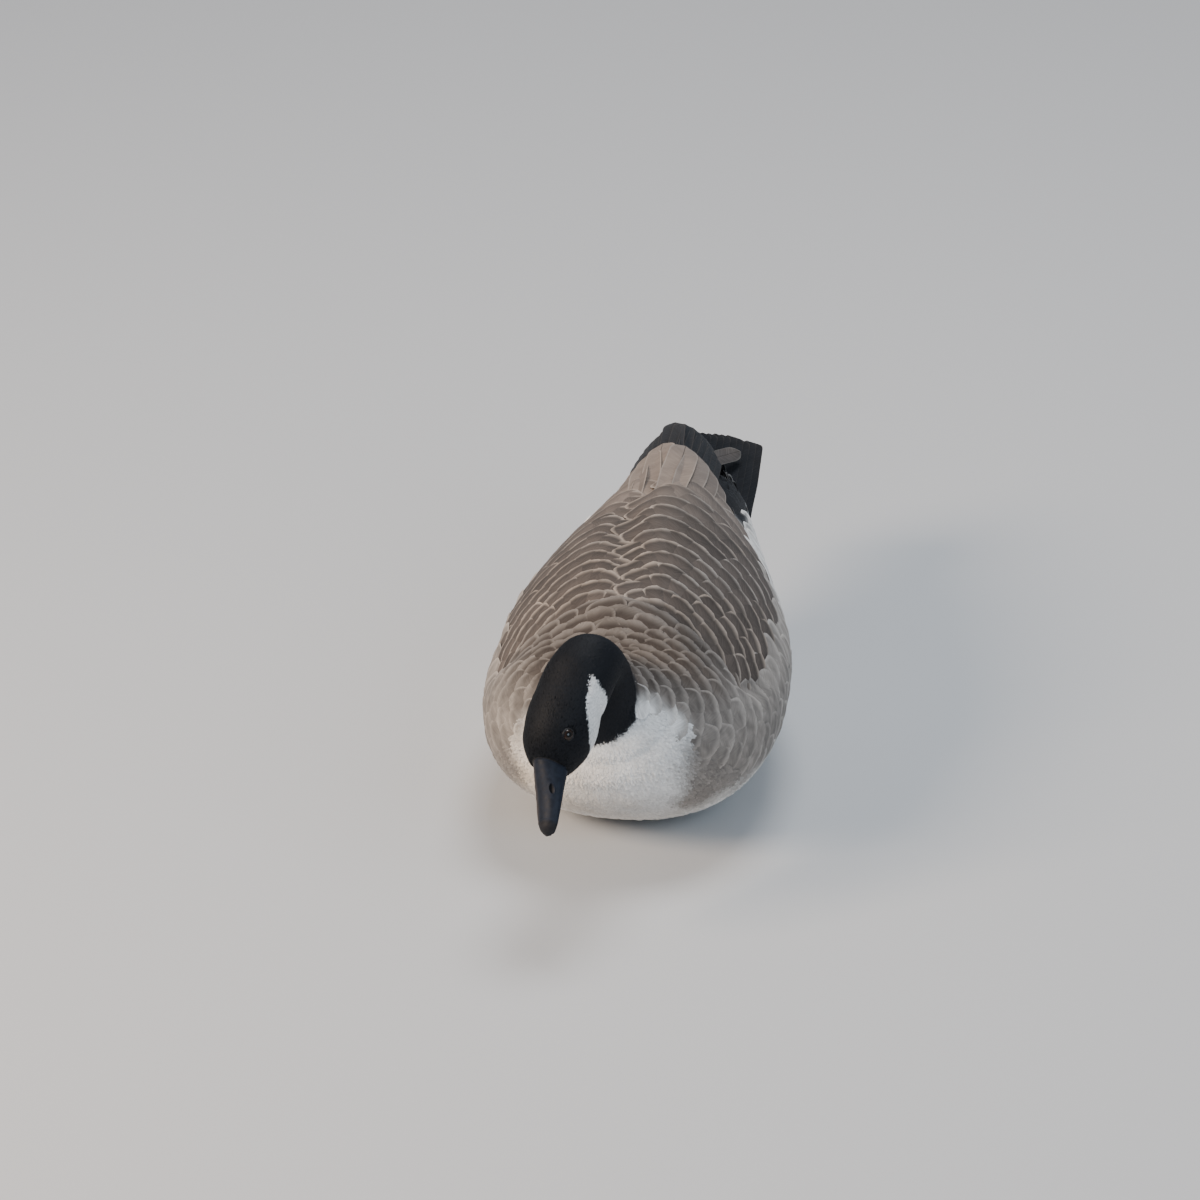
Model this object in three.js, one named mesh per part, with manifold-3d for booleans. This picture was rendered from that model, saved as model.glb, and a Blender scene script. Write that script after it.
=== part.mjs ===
// A Canada goose as a still, life-size model. It rests on its belly with its neck arched low and its feet tucked
// under. Millimetres. The goose faces -Y and its left side is +X. The belly rests on z = 0, and the origin is in the
// middle of that flat.
import * as THREE from 'three';
import { LoftGeometry } from 'three/addons/geometries/LoftGeometry.js';
import { mergeVertices } from 'three/addons/utils/BufferGeometryUtils.js';
import Module from 'manifold-3d';

const wasm = await Module();
wasm.setup();

const GAP = 0.3;
const DEG = Math.PI / 180;
const UPRIGHT = new THREE.Vector3(0, 0, 1);

// Flesh from the root of the tail to the nape. Each station is one section, given by the y and z of its point on the
// back and its point on the belly or throat, its half width, where it is widest as a share of its height, how square
// it is, how square it is above that, how far it lies to the goose's left, and in degrees how far it rolls that way
// and how far it turns to the right.
const FLESH = [
  { name: 'tail tip of the flesh', back: [292, 146], belly: [290, 135], half: 24, square: 2, left: -3 },
  { name: 'tail root', back: [258, 151], belly: [250, 116], half: 40, square: 2, left: 0 },
  { name: 'rump', back: [226, 163], belly: [214, 90], half: 51, square: 2, roof: 1.9, left: 0 },
  { name: 'vent', back: [184, 176], belly: [170, 56], half: 65, square: 2.1, roof: 1.75, left: 0 },
  { name: 'hips', back: [128, 189], belly: [120, 22], half: 85, square: 2.2, roof: 1.6 },
  { name: 'loins', back: [62, 199], belly: [60, -2], half: 108, square: 2.3, roof: 1.6, left: 1 },
  { name: 'middle', back: [-5, 203], belly: [-5, -3], half: 121, square: 2.3, roof: 1.6, left: 2 },
  { name: 'ribs', back: [-65, 202], belly: [-75, -3], half: 122, square: 2.3, roof: 1.6, left: 2 },
  { name: 'shoulders', back: [-112, 195], belly: [-138, 12], half: 114, square: 2.25, roof: 1.7, left: 1 },
  { name: 'upper breast', back: [-138, 186], belly: [-190, 46], half: 100, square: 2.15, roof: 1.9, left: -1 },
  { name: 'breast', back: [-152, 178], belly: [-219, 84], half: 77, square: 2.05, left: -4 },
  { name: 'neck root', back: [-161, 172], belly: [-227, 110], half: 49, square: 2, left: -7 },
  { name: 'lower neck', back: [-170, 174], belly: [-229, 127], half: 34, square: 2, left: -9 },
  { name: 'rising neck', back: [-196, 196], belly: [-233, 157], half: 28, square: 2, left: -7, roll: -4 },
  { name: 'arch', back: [-238, 222], belly: [-236, 171], half: 25.5, square: 2, left: -8, roll: -14, turn: 6 },
  { name: 'falling neck', back: [-270, 215], belly: [-254, 169], half: 24, square: 2, left: -14, roll: -25, turn: 11 },
  { name: 'nape', back: [-296, 198], belly: [-270, 159], half: 23, square: 2, left: -20, roll: -34, turn: 8 },
];
const WIDEST = 0.47;
const TAIL_STATION = 2.2;
const NECK_STATION = 12;
const NAPE_STATION = FLESH.length - 1;

// Folded wings and the plumage over them, as upright sections along y: the height of the middle of the back, the half
// width, the height at which that width is reached, and how far the middle lies to the goose's left.
const FOLD = [
  { y: -160, top: 184, half: 94, edge: 97, aside: 0 },
  { y: -110, top: 200, half: 108, edge: 95, aside: 0 },
  { y: -50, top: 207, half: 120, edge: 93, aside: 0 },
  { y: 10, top: 208, half: 119, edge: 91, aside: 0 },
  { y: 70, top: 205, half: 107, edge: 93, aside: 0 },
  { y: 130, top: 198, half: 85, edge: 102, aside: -1 },
  { y: 190, top: 188, half: 60, edge: 118, aside: -4 },
  { y: 250, top: 177, half: 43, edge: 137, aside: -9 },
  { y: 300, top: 169, half: 28, edge: 147, aside: -13 },
  { y: 352, top: 163, half: 19, edge: 154, aside: -17 },
];
const FOLD_SQUARE = 1.6;

// One wing: where it starts and ends along y, how thick it is, and the angles round the back, from the middle line
// down, between which it lies.
const WING = {
  front: -150, back: 284, depth: 9, tipDepth: 5, taper: 256, rise: 1.5, bedOpen: 14,
  lower: 71, lowerFront: 88, lowerBack: 84, frontRound: 30,
};
const SEAM = { front: 34, meets: -70, clearance: 0.2 };

// Feathers of the wing's upper face, in rows like shingles. A row's place is that of its tips at the middle of the
// back, and it sweeps forward down the side.
const COVERTS = {
  tips: [-100, -74, -44, -11, 26, 67, 112, 162, 216], perRow: 4, long: 1.75, wide: 0.68,
  sweep: 44, proud: 2.6, sunk: 4, rootSunk: 2, vary: 0.07,
  first: 0.55, shift: 0.4, spare: 0.3, last: 0.94, stray: 0.12, lastSpacing: 50,
};
// A vane's half width along it, as shares: at its root, where it stops widening, and how long its rounded tip is.
const VANE = { root: 0.72, widest: 0.6, tip: 0.48, rounded: 0.5, narrowed: 0.25 };
// The long feathers at the back of the wing: the ones that cover its tip, and below them the ones that form it.
const TERTIALS = { count: 4, root: 186, tip: [302, 268], half: 13.5, thick: 1.1, lift: [6.1, 1.7], aside: [13.2, 40] };
const PRIMARIES = { count: 5, root: 230, tip: [306, 334], half: 9, thick: 0.9, lift: [-0.9, -6.6], aside: [10.4, 20] };

// The head along its own axis, forward of the nape: the heights of crown and throat over that axis, and half widths.
const HEAD = [
  { a: 0, top: 23.4, low: -23.4, half: 22.6 },
  { a: 12, top: 27.5, low: -28.5, half: 26.5 },
  { a: 26, top: 29.5, low: -30, half: 28 },
  { a: 40, top: 27, low: -25.5, half: 23.5 },
  { a: 50, top: 22, low: -20.5, half: 18 },
  { a: 57, top: 16.5, low: -16, half: 14 },
];
const EYE = { a: 36, up: 9, out: 20.3, radius: 6.5 };
const LID = { radius: 7.7, long: 5.6, high: 4.7, tilt: 14 };

// The bill: culmen, the line of the mouth, the underside and half widths, forward of the nape.
const BILL = [
  { a: 57.3, culmen: 14, mouth: -6, under: -14.5, half: 12.5 },
  { a: 69, culmen: 7.5, mouth: -7.5, under: -15.5, half: 12.2 },
  { a: 82, culmen: 0, mouth: -10.5, under: -17, half: 11.5 },
  { a: 94, culmen: -5.5, mouth: -13.5, under: -18.5, half: 10.4 },
  { a: 102, culmen: -9, mouth: -16.5, under: -19.5, half: 8.4 },
  { a: 107, culmen: -12.5, mouth: -18, under: -20.3, half: 5.2 },
  { a: 109, culmen: -15.5, mouth: -18.5, under: -20.8, half: 2.2 },
];
const LOWER_BILL = { short: 2.4, narrow: 0.92, round: 0.7 };
const CULMEN_ROUND = 0.85;
const NOSTRIL = { a: 77, up: -1.2, out: 0.93, long: 4.2, high: 1.5, deep: 2.2, slope: 30 };

// The tail, from the ends of its quills to the tips of its feathers. Its left side is raised by an angle in degrees.
const TAIL = {
  root: [222, 126], tip: [343, 150.5], feathers: 14, rootApart: 7.5, tipApart: 6.5, half: 9.5, thick: 0.6, layer: 0.93,
  shorter: 12, left: 3, raised: 8, bow: 0.35,
};

// The legs, folded under the belly. Heights are of the middle of each joint.
const LEG = { x: 50, hock: [104, 15], toes: [8, 8], hockRadius: 9, shin: 5, toeJoint: 7 };
const TOES = [
  { name: 'inner', spread: -26, long: 62 },
  { name: 'middle', spread: -2, long: 82 },
  { name: 'outer', spread: 19, long: 74 },
];
const TOE = { root: 4.6, tip: 2.6, claw: 9, clawRoot: 2.08, clawTip: 0.9, clawHeight: 1.2 };
const WEB = { thick: 2, reach: 0.84, waist: 0.12 };
const HIND_TOE = { spread: 150, long: 16 };

// Colours, roughness and metalness.
const FINISH = {
  plumage: { color: 0x8b7d6b, roughness: 0.9 },
  black: { color: 0x17181c, roughness: 0.7 },
  wing: { color: 0x7a6b59, roughness: 0.88 },
  bill: { color: 0x2b2d33, roughness: 0.45 },
  eye: { color: 0x1a100a, roughness: 0.08 },
  leg: { color: 0x24231f, roughness: 0.6 },
};

// A curve through the stations that gives any of their values at a fractional station number.
function through(stations, read) {
  const points = stations.map((s) => new THREE.Vector3(...read(s)));
  const curve = new THREE.CatmullRomCurve3(points, false, 'catmullrom', 0.5);
  return (at) => curve.getPoint(THREE.MathUtils.clamp(at / (stations.length - 1), 0, 1));
}

// The same for stations that are set at a coordinate, so the curve is read by that coordinate.
function profile(stations, key, names) {
  const samples = stations.flatMap((s) => names.map((n) => s[n]));
  const result = new Float64Array(names.length);
  const curve = new THREE.CubicInterpolant(
    new Float64Array(stations.map((s) => s[key])), new Float64Array(samples), names.length, result);
  return (at) => {
    const last = stations[stations.length - 1][key];
    const values = curve.evaluate(THREE.MathUtils.clamp(at, stations[0][key], last - 1e-6));
    return Object.fromEntries(names.map((n, i) => [n, values[i]]));
  };
}

// A sine or cosine flattened towards the sides of a box as the section gets squarer.
const squared = (value, square) => Math.sign(value) * Math.abs(value) ** (2 / square);

const fleshBack = through(FLESH, (s) => [s.left ?? 0, ...s.back]);
const fleshBelly = through(FLESH, (s) => [s.left ?? 0, ...s.belly]);
const fleshForm = through(FLESH, (s) => [s.half, s.square, s.roof ?? s.square]);
const fleshRoll = through(FLESH, (s) => [s.roll ?? 0, s.turn ?? 0, 0]);

// One section of the flesh: its middle, and the directions of the goose's left and of its back.
function fleshFrame(at) {
  const back = fleshBack(at);
  const belly = fleshBelly(at);
  const up = back.clone().sub(belly);
  const height = up.length();
  up.normalize();
  const { x: roll, y: turn } = fleshRoll(at).multiplyScalar(DEG);
  up.applyAxisAngle(UPRIGHT, -turn);
  const level = new THREE.Vector3(1, 0, 0).applyAxisAngle(UPRIGHT, -turn);
  const left = level.clone().multiplyScalar(Math.cos(roll)).addScaledVector(up, -Math.sin(roll));
  const crown = level.clone().multiplyScalar(Math.sin(roll)).addScaledVector(up, Math.cos(roll));
  return { middle: back.add(belly).multiplyScalar(0.5), left, crown, height };
}

// The ring of points round the flesh at a station, moved forward along the body by a shift.
function fleshRing(at, sides, shift = 0) {
  const { middle, left, crown, height } = fleshFrame(at);
  const { x: half, y: below, z: above } = fleshForm(at);
  const onward = left.clone().cross(crown);
  return Array.from({ length: sides }, (_, i) => {
    const angle = (i / sides) * Math.PI * 2;
    const square = Math.cos(angle) > 0 ? above : below;
    const rise = squared(Math.cos(angle), square);
    const reach = rise > 0 ? 1 - WIDEST : WIDEST;
    return middle.clone()
      .addScaledVector(left, half * squared(Math.sin(angle), square))
      .addScaledVector(crown, height * (WIDEST - 0.5 + rise * reach))
      .addScaledVector(onward, shift);
  });
}

// A closed skin over a row of rings, with each ring turned the way round that makes its faces point out.
function loft(sections) {
  const [ring, next] = [sections[0], sections[1]];
  const middle = (points) => points.reduce((sum, p) => sum.add(p), new THREE.Vector3()).divideScalar(points.length);
  const from = middle(ring);
  const turn = new THREE.Vector3();
  ring.forEach((p, i) => turn.add(p.clone().sub(from).cross(ring[(i + 1) % ring.length].clone().sub(from))));
  const facing = turn.dot(middle(next).sub(from)) > 0;
  const ordered = facing ? sections : sections.map((points) => [...points].reverse());
  return new LoftGeometry(ordered, { capStart: true, capEnd: true });
}

// A closed geometry as a solid.
function solid(geometry) {
  const bare = new THREE.BufferGeometry();
  bare.setAttribute('position', geometry.getAttribute('position').clone());
  if (geometry.index) bare.setIndex(geometry.index.clone());
  const merged = mergeVertices(bare, 1e-4);
  const kept = [];
  const index = merged.index.array;
  for (let i = 0; i < index.length; i += 3) {
    const [a, b, c] = [index[i], index[i + 1], index[i + 2]];
    if (a !== b && b !== c && c !== a) kept.push(a, b, c);
  }
  const build = (triangles) => new wasm.Manifold(new wasm.Mesh({
    numProp: 3,
    vertProperties: new Float32Array(merged.getAttribute('position').array),
    triVerts: new Uint32Array(triangles),
  }));
  const made = build(kept);
  return made.volume() > 0 ? made : build(kept.reverse());
}

// The solid's largest closed piece, as a geometry.
function geometryOf(made) {
  const whole = made.decompose().reduce((a, b) => (b.volume() > a.volume() ? b : a));
  const mesh = whole.getMesh();
  const positions = new Float32Array(mesh.numVert * 3);
  for (let i = 0; i < mesh.numVert; i++) {
    positions.set(mesh.vertProperties.subarray(i * mesh.numProp, i * mesh.numProp + 3), i * 3);
  }
  const geometry = new THREE.BufferGeometry();
  geometry.setAttribute('position', new THREE.BufferAttribute(positions, 3));
  geometry.setIndex(new THREE.BufferAttribute(new Uint32Array(mesh.triVerts), 1));
  geometry.computeVertexNormals();
  return geometry;
}

// A round bar between two points, thick by its two radii, with round ends.
function bar(from, to, radiusFrom, radiusTo, sides = 8) {
  const axis = to.clone().sub(from);
  const long = axis.length();
  const turn = new THREE.Quaternion().setFromUnitVectors(new THREE.Vector3(0, 1, 0), axis.normalize());
  const outline = [];
  const steps = 2;
  for (let i = 0; i <= steps; i++) {
    const angle = -90 * DEG + (i / steps) * 90 * DEG;
    outline.push(new THREE.Vector2(radiusFrom * Math.cos(angle), radiusFrom * Math.sin(angle)));
  }
  for (let i = 0; i <= steps; i++) {
    const angle = (i / steps) * 90 * DEG;
    outline.push(new THREE.Vector2(radiusTo * Math.cos(angle), long + radiusTo * Math.sin(angle)));
  }
  outline[0].x = 0;
  outline[outline.length - 1].x = 0;
  const geometry = new THREE.LatheGeometry(outline, sides);
  geometry.applyQuaternion(turn).translate(from.x, from.y, from.z);
  return solid(geometry);
}

// The surface of the folded wings and the plumage of the back, at a place along y and an angle round from the middle
// of the back, lifted off by a height and moved on round it by a distance.
const fold = profile(FOLD, 'y', ['top', 'half', 'edge', 'aside']);
function foldPoint(y, angle, lift = 0, around = 0) {
  const at = (yy, turn) => {
    const { top, half, edge } = fold(yy);
    const x = half * squared(Math.sin(turn), FOLD_SQUARE);
    return new THREE.Vector3(x, yy, edge + (top - edge) * squared(Math.cos(turn), FOLD_SQUARE));
  };
  const along = at(y + 1, angle).sub(at(y - 1, angle));
  const round = at(y, angle + 0.02).sub(at(y, angle - 0.02)).normalize();
  const out = round.clone().cross(along).normalize();
  return at(y, angle).addScaledVector(out, lift).addScaledVector(round, around);
}

// The angle of a wing's inner edge, next to the other wing, and of its lower edge, at a place along y.
function seamAngle(y) {
  const apart = THREE.MathUtils.smoothstep(SEAM.meets - y, 0, SEAM.meets - WING.front);
  return SEAM.front * DEG * apart;
}
function lowerAngle(y) {
  const front = THREE.MathUtils.smoothstep(-y, 40, -WING.front);
  const back = THREE.MathUtils.smoothstep(y, 120, 250);
  const round = THREE.MathUtils.smoothstep(-y, 70, 190) ** 2 * 2;
  const angle = WING.lower + (WING.lowerFront - WING.lower) * front + (WING.lowerBack - WING.lower) * back;
  return (angle - WING.frontRound * round) * DEG;
}

// A wing's body between its upper face and its inner face. The side is 1 for the left wing and -1 for the right. A
// spare widens it all round, for the bed that it lies in, and such a bed is open above.
function wingBody(side, spare = 0, open = spare > 0) {
  const across = 7;
  const rows = 18;
  const sections = Array.from({ length: rows + 1 }, (_, i) => {
    const y = THREE.MathUtils.lerp(WING.front, WING.back, i / rows) + (i === 0 ? -spare : 0) + (i === rows ? spare : 0);
    const [from, to] = [seamAngle(y), lowerAngle(y)];
    const narrow = THREE.MathUtils.smoothstep(y, WING.taper, WING.back);
    const depth = THREE.MathUtils.lerp(WING.depth, WING.tipDepth, narrow) + spare;
    const edgePoint = (j, height) => {
      const share = j / across;
      const along = THREE.MathUtils.lerp(SEAM.clearance - spare, spare, share);
      return foldPoint(y, THREE.MathUtils.lerp(from, to, share), height, along);
    };
    const ring = [];
    for (let j = 0; j <= across; j++) ring.push(edgePoint(j, WING.rise));
    for (let j = across; j >= 0; j--) ring.push(edgePoint(j, -depth));
    if (open) {
      for (let j = 1; j < across; j++) ring[j] = edgePoint(j, WING.bedOpen);
      ring.splice(1, 0, edgePoint(0, WING.bedOpen));
      ring.splice(across + 1, 0, edgePoint(across, WING.bedOpen));
    }
    for (const point of ring) {
      point.x = fold(y).aside + side * point.x;
      if (i === 0 || i === rows) point.y = y;
    }
    return ring;
  });
  return solid(loft(sections));
}

// Distances round the fold from the middle of the back, at even steps of the angle, and the angle at a distance.
const ARC_STEPS = 30;
function foldArc(y) {
  const reach = [0];
  for (let i = 1; i <= ARC_STEPS; i++) {
    const [a, b] = [i - 1, i].map((n) => foldPoint(y, (n / ARC_STEPS) * 90 * DEG));
    reach.push(reach[i - 1] + a.distanceTo(b));
  }
  return reach;
}
function angleAt(reach, distance) {
  const i = Math.max(1, reach.findIndex((r) => r > distance));
  const share = (distance - reach[i - 1]) / (reach[i] - reach[i - 1]);
  return ((i - 1 + share) / ARC_STEPS) * 90 * DEG;
}

// A feather vane, closed, between an upper and a lower face. Both are functions of the share along the vane, from
// root to tip, and of the place across it, from -1 to 1.
function vane(upper, lower, long = 3, across = 2) {
  const grid = new THREE.PlaneGeometry(2, 1, across, long);
  const flat = grid.getAttribute('position');
  const count = flat.count;
  const places = Array.from({ length: count }, (_, i) => [0.5 - flat.getY(i), flat.getX(i)]);
  const points = [upper, lower].flatMap((face) => places.map(([u, v]) => face(u, v)));
  const faces = Array.from(grid.index.array);
  const index = [...faces];
  for (let i = 0; i < faces.length; i += 3) index.push(faces[i] + count, faces[i + 2] + count, faces[i + 1] + count);
  const rim = [];
  for (let i = 0; i < across; i++) rim.push(i);
  for (let i = 0; i < long; i++) rim.push(across + i * (across + 1));
  for (let i = across; i > 0; i--) rim.push(long * (across + 1) + i);
  for (let i = long; i > 0; i--) rim.push(i * (across + 1));
  rim.forEach((a, i) => {
    const b = rim[(i + 1) % rim.length];
    index.push(a, b, b + count, a, b + count, a + count);
  });
  const geometry = new THREE.BufferGeometry().setFromPoints(points);
  geometry.setIndex(index);
  return solid(geometry);
}

// How wide a vane is along its length, as a share of its widest: narrow at the root and rounded at the tip.
function vaneWidth(u) {
  const tip = u > VANE.widest ? Math.sqrt(1 - ((u - VANE.widest) / VANE.tip) ** 2) : 1;
  return (VANE.root + (1 - VANE.root) * Math.min(1, u / VANE.widest)) * tip;
}

const random = seeded(7);
function seeded(seed) {
  let state = seed;
  return () => {
    state = (state * 16807) % 2147483647;
    return state / 2147483647;
  };
}
const varied = (value, by) => value * (1 + by * (random() * 2 - 1));

// The shingled feathers of one wing, each a wedge whose lower face is sunk in the wing's body.
function coverts(side) {
  return COVERTS.tips.flatMap((rowTip, row) => {
    const spacing = (COVERTS.tips[row + 1] ?? rowTip + COVERTS.lastSpacing) - rowTip;
    const shift = row % 2 ? COVERTS.shift : 0;
    return Array.from({ length: COVERTS.perRow }, (_, k) => {
      const share = Math.min(COVERTS.last, (k + COVERTS.first + shift) / (COVERTS.perRow + COVERTS.spare));
      const tip = rowTip - COVERTS.sweep * share ** 2 + spacing * COVERTS.stray * (random() * 2 - 1);
      const long = varied(spacing * COVERTS.long, COVERTS.vary);
      const reach = foldArc(tip);
      const [from, to] = [seamAngle(tip), lowerAngle(tip)].map((angle) => {
        return reach[Math.round((angle / (90 * DEG)) * ARC_STEPS)];
      });
      const middle = THREE.MathUtils.lerp(from, to, share);
      const half = varied(((to - from) / COVERTS.perRow) * COVERTS.wide, COVERTS.vary);
      const face = (lift) => (u, v) => {
        const y = Math.max(WING.front + 2, tip - long * (1 - u) - half * VANE.rounded * v * v * u ** 3);
        const arc = foldArc(y);
        const edge = arc[ARC_STEPS] / reach[ARC_STEPS];
        const distance = middle * edge + v * half * vaneWidth(u);
        const point = foldPoint(y, angleAt(arc, THREE.MathUtils.clamp(distance, 0.4, arc[ARC_STEPS] - 0.5)), lift(u));
        return point.setX(fold(y).aside + side * point.x);
      };
      return vane(face((u) => -COVERTS.rootSunk + (COVERTS.rootSunk + COVERTS.proud) * u), face(() => -COVERTS.sunk));
    });
  });
}

// The long blades at the back of one wing. They come out of its body in layers, held apart by their height.
function blades(side, plan) {
  return Array.from({ length: plan.count }, (_, k) => {
    const share = plan.count > 1 ? k / (plan.count - 1) : 0;
    const tip = THREE.MathUtils.lerp(plan.tip[0], plan.tip[1], share);
    const height = THREE.MathUtils.lerp(plan.lift[0], plan.lift[1], share);
    const aside = THREE.MathUtils.lerp(plan.aside[0], plan.aside[1], share);
    const face = (sink) => (u, v) => {
      const y = THREE.MathUtils.lerp(plan.root, tip, u) - plan.half * VANE.rounded * v * v * u ** 3;
      const half = plan.half * vaneWidth(u) * (1 - VANE.narrowed * u);
      const rise = height > 0 ? height * THREE.MathUtils.smoothstep(u, -0.15, 0.6) - 0.5 : height;
      const point = foldPoint(y, angleAt(foldArc(y), aside), rise - sink, v * half - plan.half * 0.1 * u);
      return point.setX(fold(y).aside + side * point.x);
    };
    return vane(face(0), face(plan.thick), 4, 3);
  });
}

// A wing: its body, and its feathers kept within the space over its bed.
function wing(side) {
  let made = wingBody(side);
  const space = wingBody(side, 0, true);
  for (const feather of coverts(side)) made = made.add(feather.intersect(space));
  for (const feather of [...blades(side, TERTIALS), ...blades(side, PRIMARIES)]) made = made.add(feather);
  return made;
}

// Feet and shins. A spare thickens them, for the hollows in the belly that they are tucked into.
function shin(side, spare = 0) {
  const hock = new THREE.Vector3(side * LEG.x, ...LEG.hock);
  const toes = new THREE.Vector3(side * LEG.x, ...LEG.toes);
  return bar(hock, toes, LEG.hockRadius + spare, LEG.shin + spare);
}

function toeEnd(side, toe) {
  const turn = (toe.spread * -side) * DEG;
  const x = side * LEG.x + Math.sin(turn) * toe.long;
  return new THREE.Vector3(x, LEG.toes[0] - Math.cos(turn) * toe.long, TOE.tip);
}

function foot(side, spare = 0) {
  const joint = new THREE.Vector3(side * LEG.x, ...LEG.toes);
  const root = joint.clone().setZ(TOE.root);
  let made = bar(joint, root, LEG.toeJoint + spare, TOE.root + spare);
  for (const toe of [...TOES, HIND_TOE]) {
    const end = toeEnd(side, toe);
    made = made.add(bar(root, end, TOE.root + spare, TOE.tip + spare, 6));
    const onward = end.clone().sub(root).normalize();
    const claw = end.clone().addScaledVector(onward, TOE.claw).setZ(TOE.clawHeight);
    made = made.add(bar(end, claw, TOE.clawRoot + spare, TOE.clawTip + spare, 5));
  }
  const webs = [0, 1].map((i) => {
    const shape = new THREE.Shape();
    const ends = [toeEnd(side, TOES[i]), toeEnd(side, TOES[i + 1])];
    const [a, b] = ends.map((e) => root.clone().lerp(e, WEB.reach));
    const waist = a.clone().add(b).multiplyScalar(0.5).lerp(root, WEB.waist);
    shape.moveTo(root.x, root.y);
    shape.lineTo(a.x, a.y);
    shape.quadraticCurveTo(waist.x, waist.y, b.x, b.y);
    const plate = new THREE.ExtrudeGeometry(shape, { depth: WEB.thick + spare, bevelEnabled: false, curveSegments: 4 });
    return solid(plate);
  });
  return made.add(webs[0]).add(webs[1]);
}

// A block from the floor down, which leaves everything on it flat underneath.
function underFloor() {
  const block = new THREE.BoxGeometry(600, 1200, 100);
  block.translate(0, 0, -50);
  return solid(block);
}

function fleshSections(from, to, steps, sides, shiftFirst = 0) {
  return Array.from({ length: steps + 1 }, (_, i) => {
    return fleshRing(THREE.MathUtils.lerp(from, to, i / steps), sides, i === 0 ? shiftFirst : 0);
  });
}

function torso() {
  let made = solid(loft(fleshSections(TAIL_STATION, NECK_STATION, 22, 22)));
  made = made.subtract(underFloor());
  for (const side of [1, -1]) {
    made = made.subtract(wingBody(side, GAP));
    made = made.subtract(shin(side, GAP)).subtract(foot(side, GAP));
  }
  return made;
}

const neck = () => solid(loft(fleshSections(NECK_STATION, NAPE_STATION, 13, 22, GAP)));

// The tail: the flesh behind the rump, and its feathers, the middle ones over the outer ones.
function tail() {
  const flesh = fleshSections(0, TAIL_STATION, 5, 20);
  const gapped = fleshRing(TAIL_STATION, 20, -GAP);
  flesh[flesh.length - 1] = gapped;
  let made = solid(loft(flesh));
  for (let k = 0; k < TAIL.feathers; k++) {
    const from = k - (TAIL.feathers - 1) / 2;
    const out = Math.abs(from) - 0.5 + (from > 0 ? 0.5 : 0);
    const tip = TAIL.tip[0] - TAIL.shorter * (from / (TAIL.feathers / 2)) ** 2;
    const face = (sink) => (u, v) => {
      const y = THREE.MathUtils.lerp(TAIL.root[0], tip, u) - TAIL.half * VANE.rounded * v * v * u ** 3;
      const along = (y - TAIL.root[0]) / (TAIL.tip[0] - TAIL.root[0]);
      const x = from * THREE.MathUtils.lerp(TAIL.rootApart, TAIL.tipApart, along) + v * TAIL.half * vaneWidth(u);
      const z = THREE.MathUtils.lerp(TAIL.root[1], TAIL.tip[1], along) - TAIL.layer * out - TAIL.bow * v * v;
      return new THREE.Vector3(TAIL.left + x, y, z + x * Math.tan(TAIL.raised * DEG) - sink);
    };
    made = made.add(vane(face(0), face(TAIL.thick), 3, 3));
  }
  return made.subtract(wingBody(1, GAP)).subtract(wingBody(-1, GAP));
}

// Shapes of the head are made in its own frame, with the same directions as the goose's, and a group sets them on
// the neck.
const headForm = profile(HEAD, 'a', ['top', 'low', 'half']);
function headRing(a, sides, square = 2) {
  const { top, low, half } = headForm(a);
  const middle = (top + low) / 2;
  return Array.from({ length: sides }, (_, i) => {
    const angle = (i / sides) * Math.PI * 2;
    const z = middle + ((top - low) / 2) * squared(Math.cos(angle), square);
    return new THREE.Vector3(half * squared(Math.sin(angle), square), -a, z);
  });
}

function eyeBall(side, radius = EYE.radius) {
  const ball = new THREE.SphereGeometry(radius, 14, 8);
  ball.rotateX(90 * DEG).rotateY(90 * DEG);
  ball.translate(side * EYE.out, -EYE.a, EYE.up);
  return solid(ball);
}

// The opening between the lids: an upright oval hole through them.
function lidOpening(side) {
  const hole = new THREE.CylinderGeometry(1, 1, 20, 14);
  hole.rotateZ(90 * DEG).scale(1, LID.long, LID.high).rotateX(LID.tilt * DEG);
  hole.translate(side * (EYE.out + 12), -EYE.a, EYE.up);
  return solid(hole);
}

function head() {
  const rows = 11;
  const last = HEAD[HEAD.length - 1].a;
  const sections = Array.from({ length: rows + 1 }, (_, i) => headRing(GAP + (last - GAP) * (i / rows), 22));
  let made = solid(loft(sections));
  for (const side of [1, -1]) {
    made = made.add(eyeBall(side, LID.radius)).subtract(lidOpening(side)).subtract(eyeBall(side, EYE.radius + GAP));
  }
  return made;
}

const billForm = profile(BILL, 'a', ['culmen', 'mouth', 'under', 'half']);

function upperBill() {
  const rows = 14;
  const [first, last] = [BILL[0].a, BILL[BILL.length - 1].a];
  const across = 8;
  const sections = Array.from({ length: rows + 1 }, (_, i) => {
    const a = THREE.MathUtils.lerp(first, last, Math.sin((i / rows) * 90 * DEG));
    const { culmen, mouth, half } = billForm(a);
    const ring = [];
    for (let j = 0; j <= across; j++) {
      const angle = ((j / across) * 2 - 1) * 90 * DEG;
      const rise = Math.cos(angle) ** CULMEN_ROUND;
      ring.push(new THREE.Vector3(half * Math.sin(angle), -a, mouth + (culmen - mouth) * rise));
    }
    return ring;
  });
  let made = solid(loft(sections));
  for (const side of [1, -1]) {
    const pocket = new THREE.SphereGeometry(1, 12, 8);
    pocket.scale(NOSTRIL.deep, NOSTRIL.long, NOSTRIL.high).rotateX(NOSTRIL.slope * DEG);
    pocket.translate(side * billForm(NOSTRIL.a).half * NOSTRIL.out, -NOSTRIL.a, NOSTRIL.up);
    made = made.subtract(solid(pocket));
  }
  return made;
}

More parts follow.
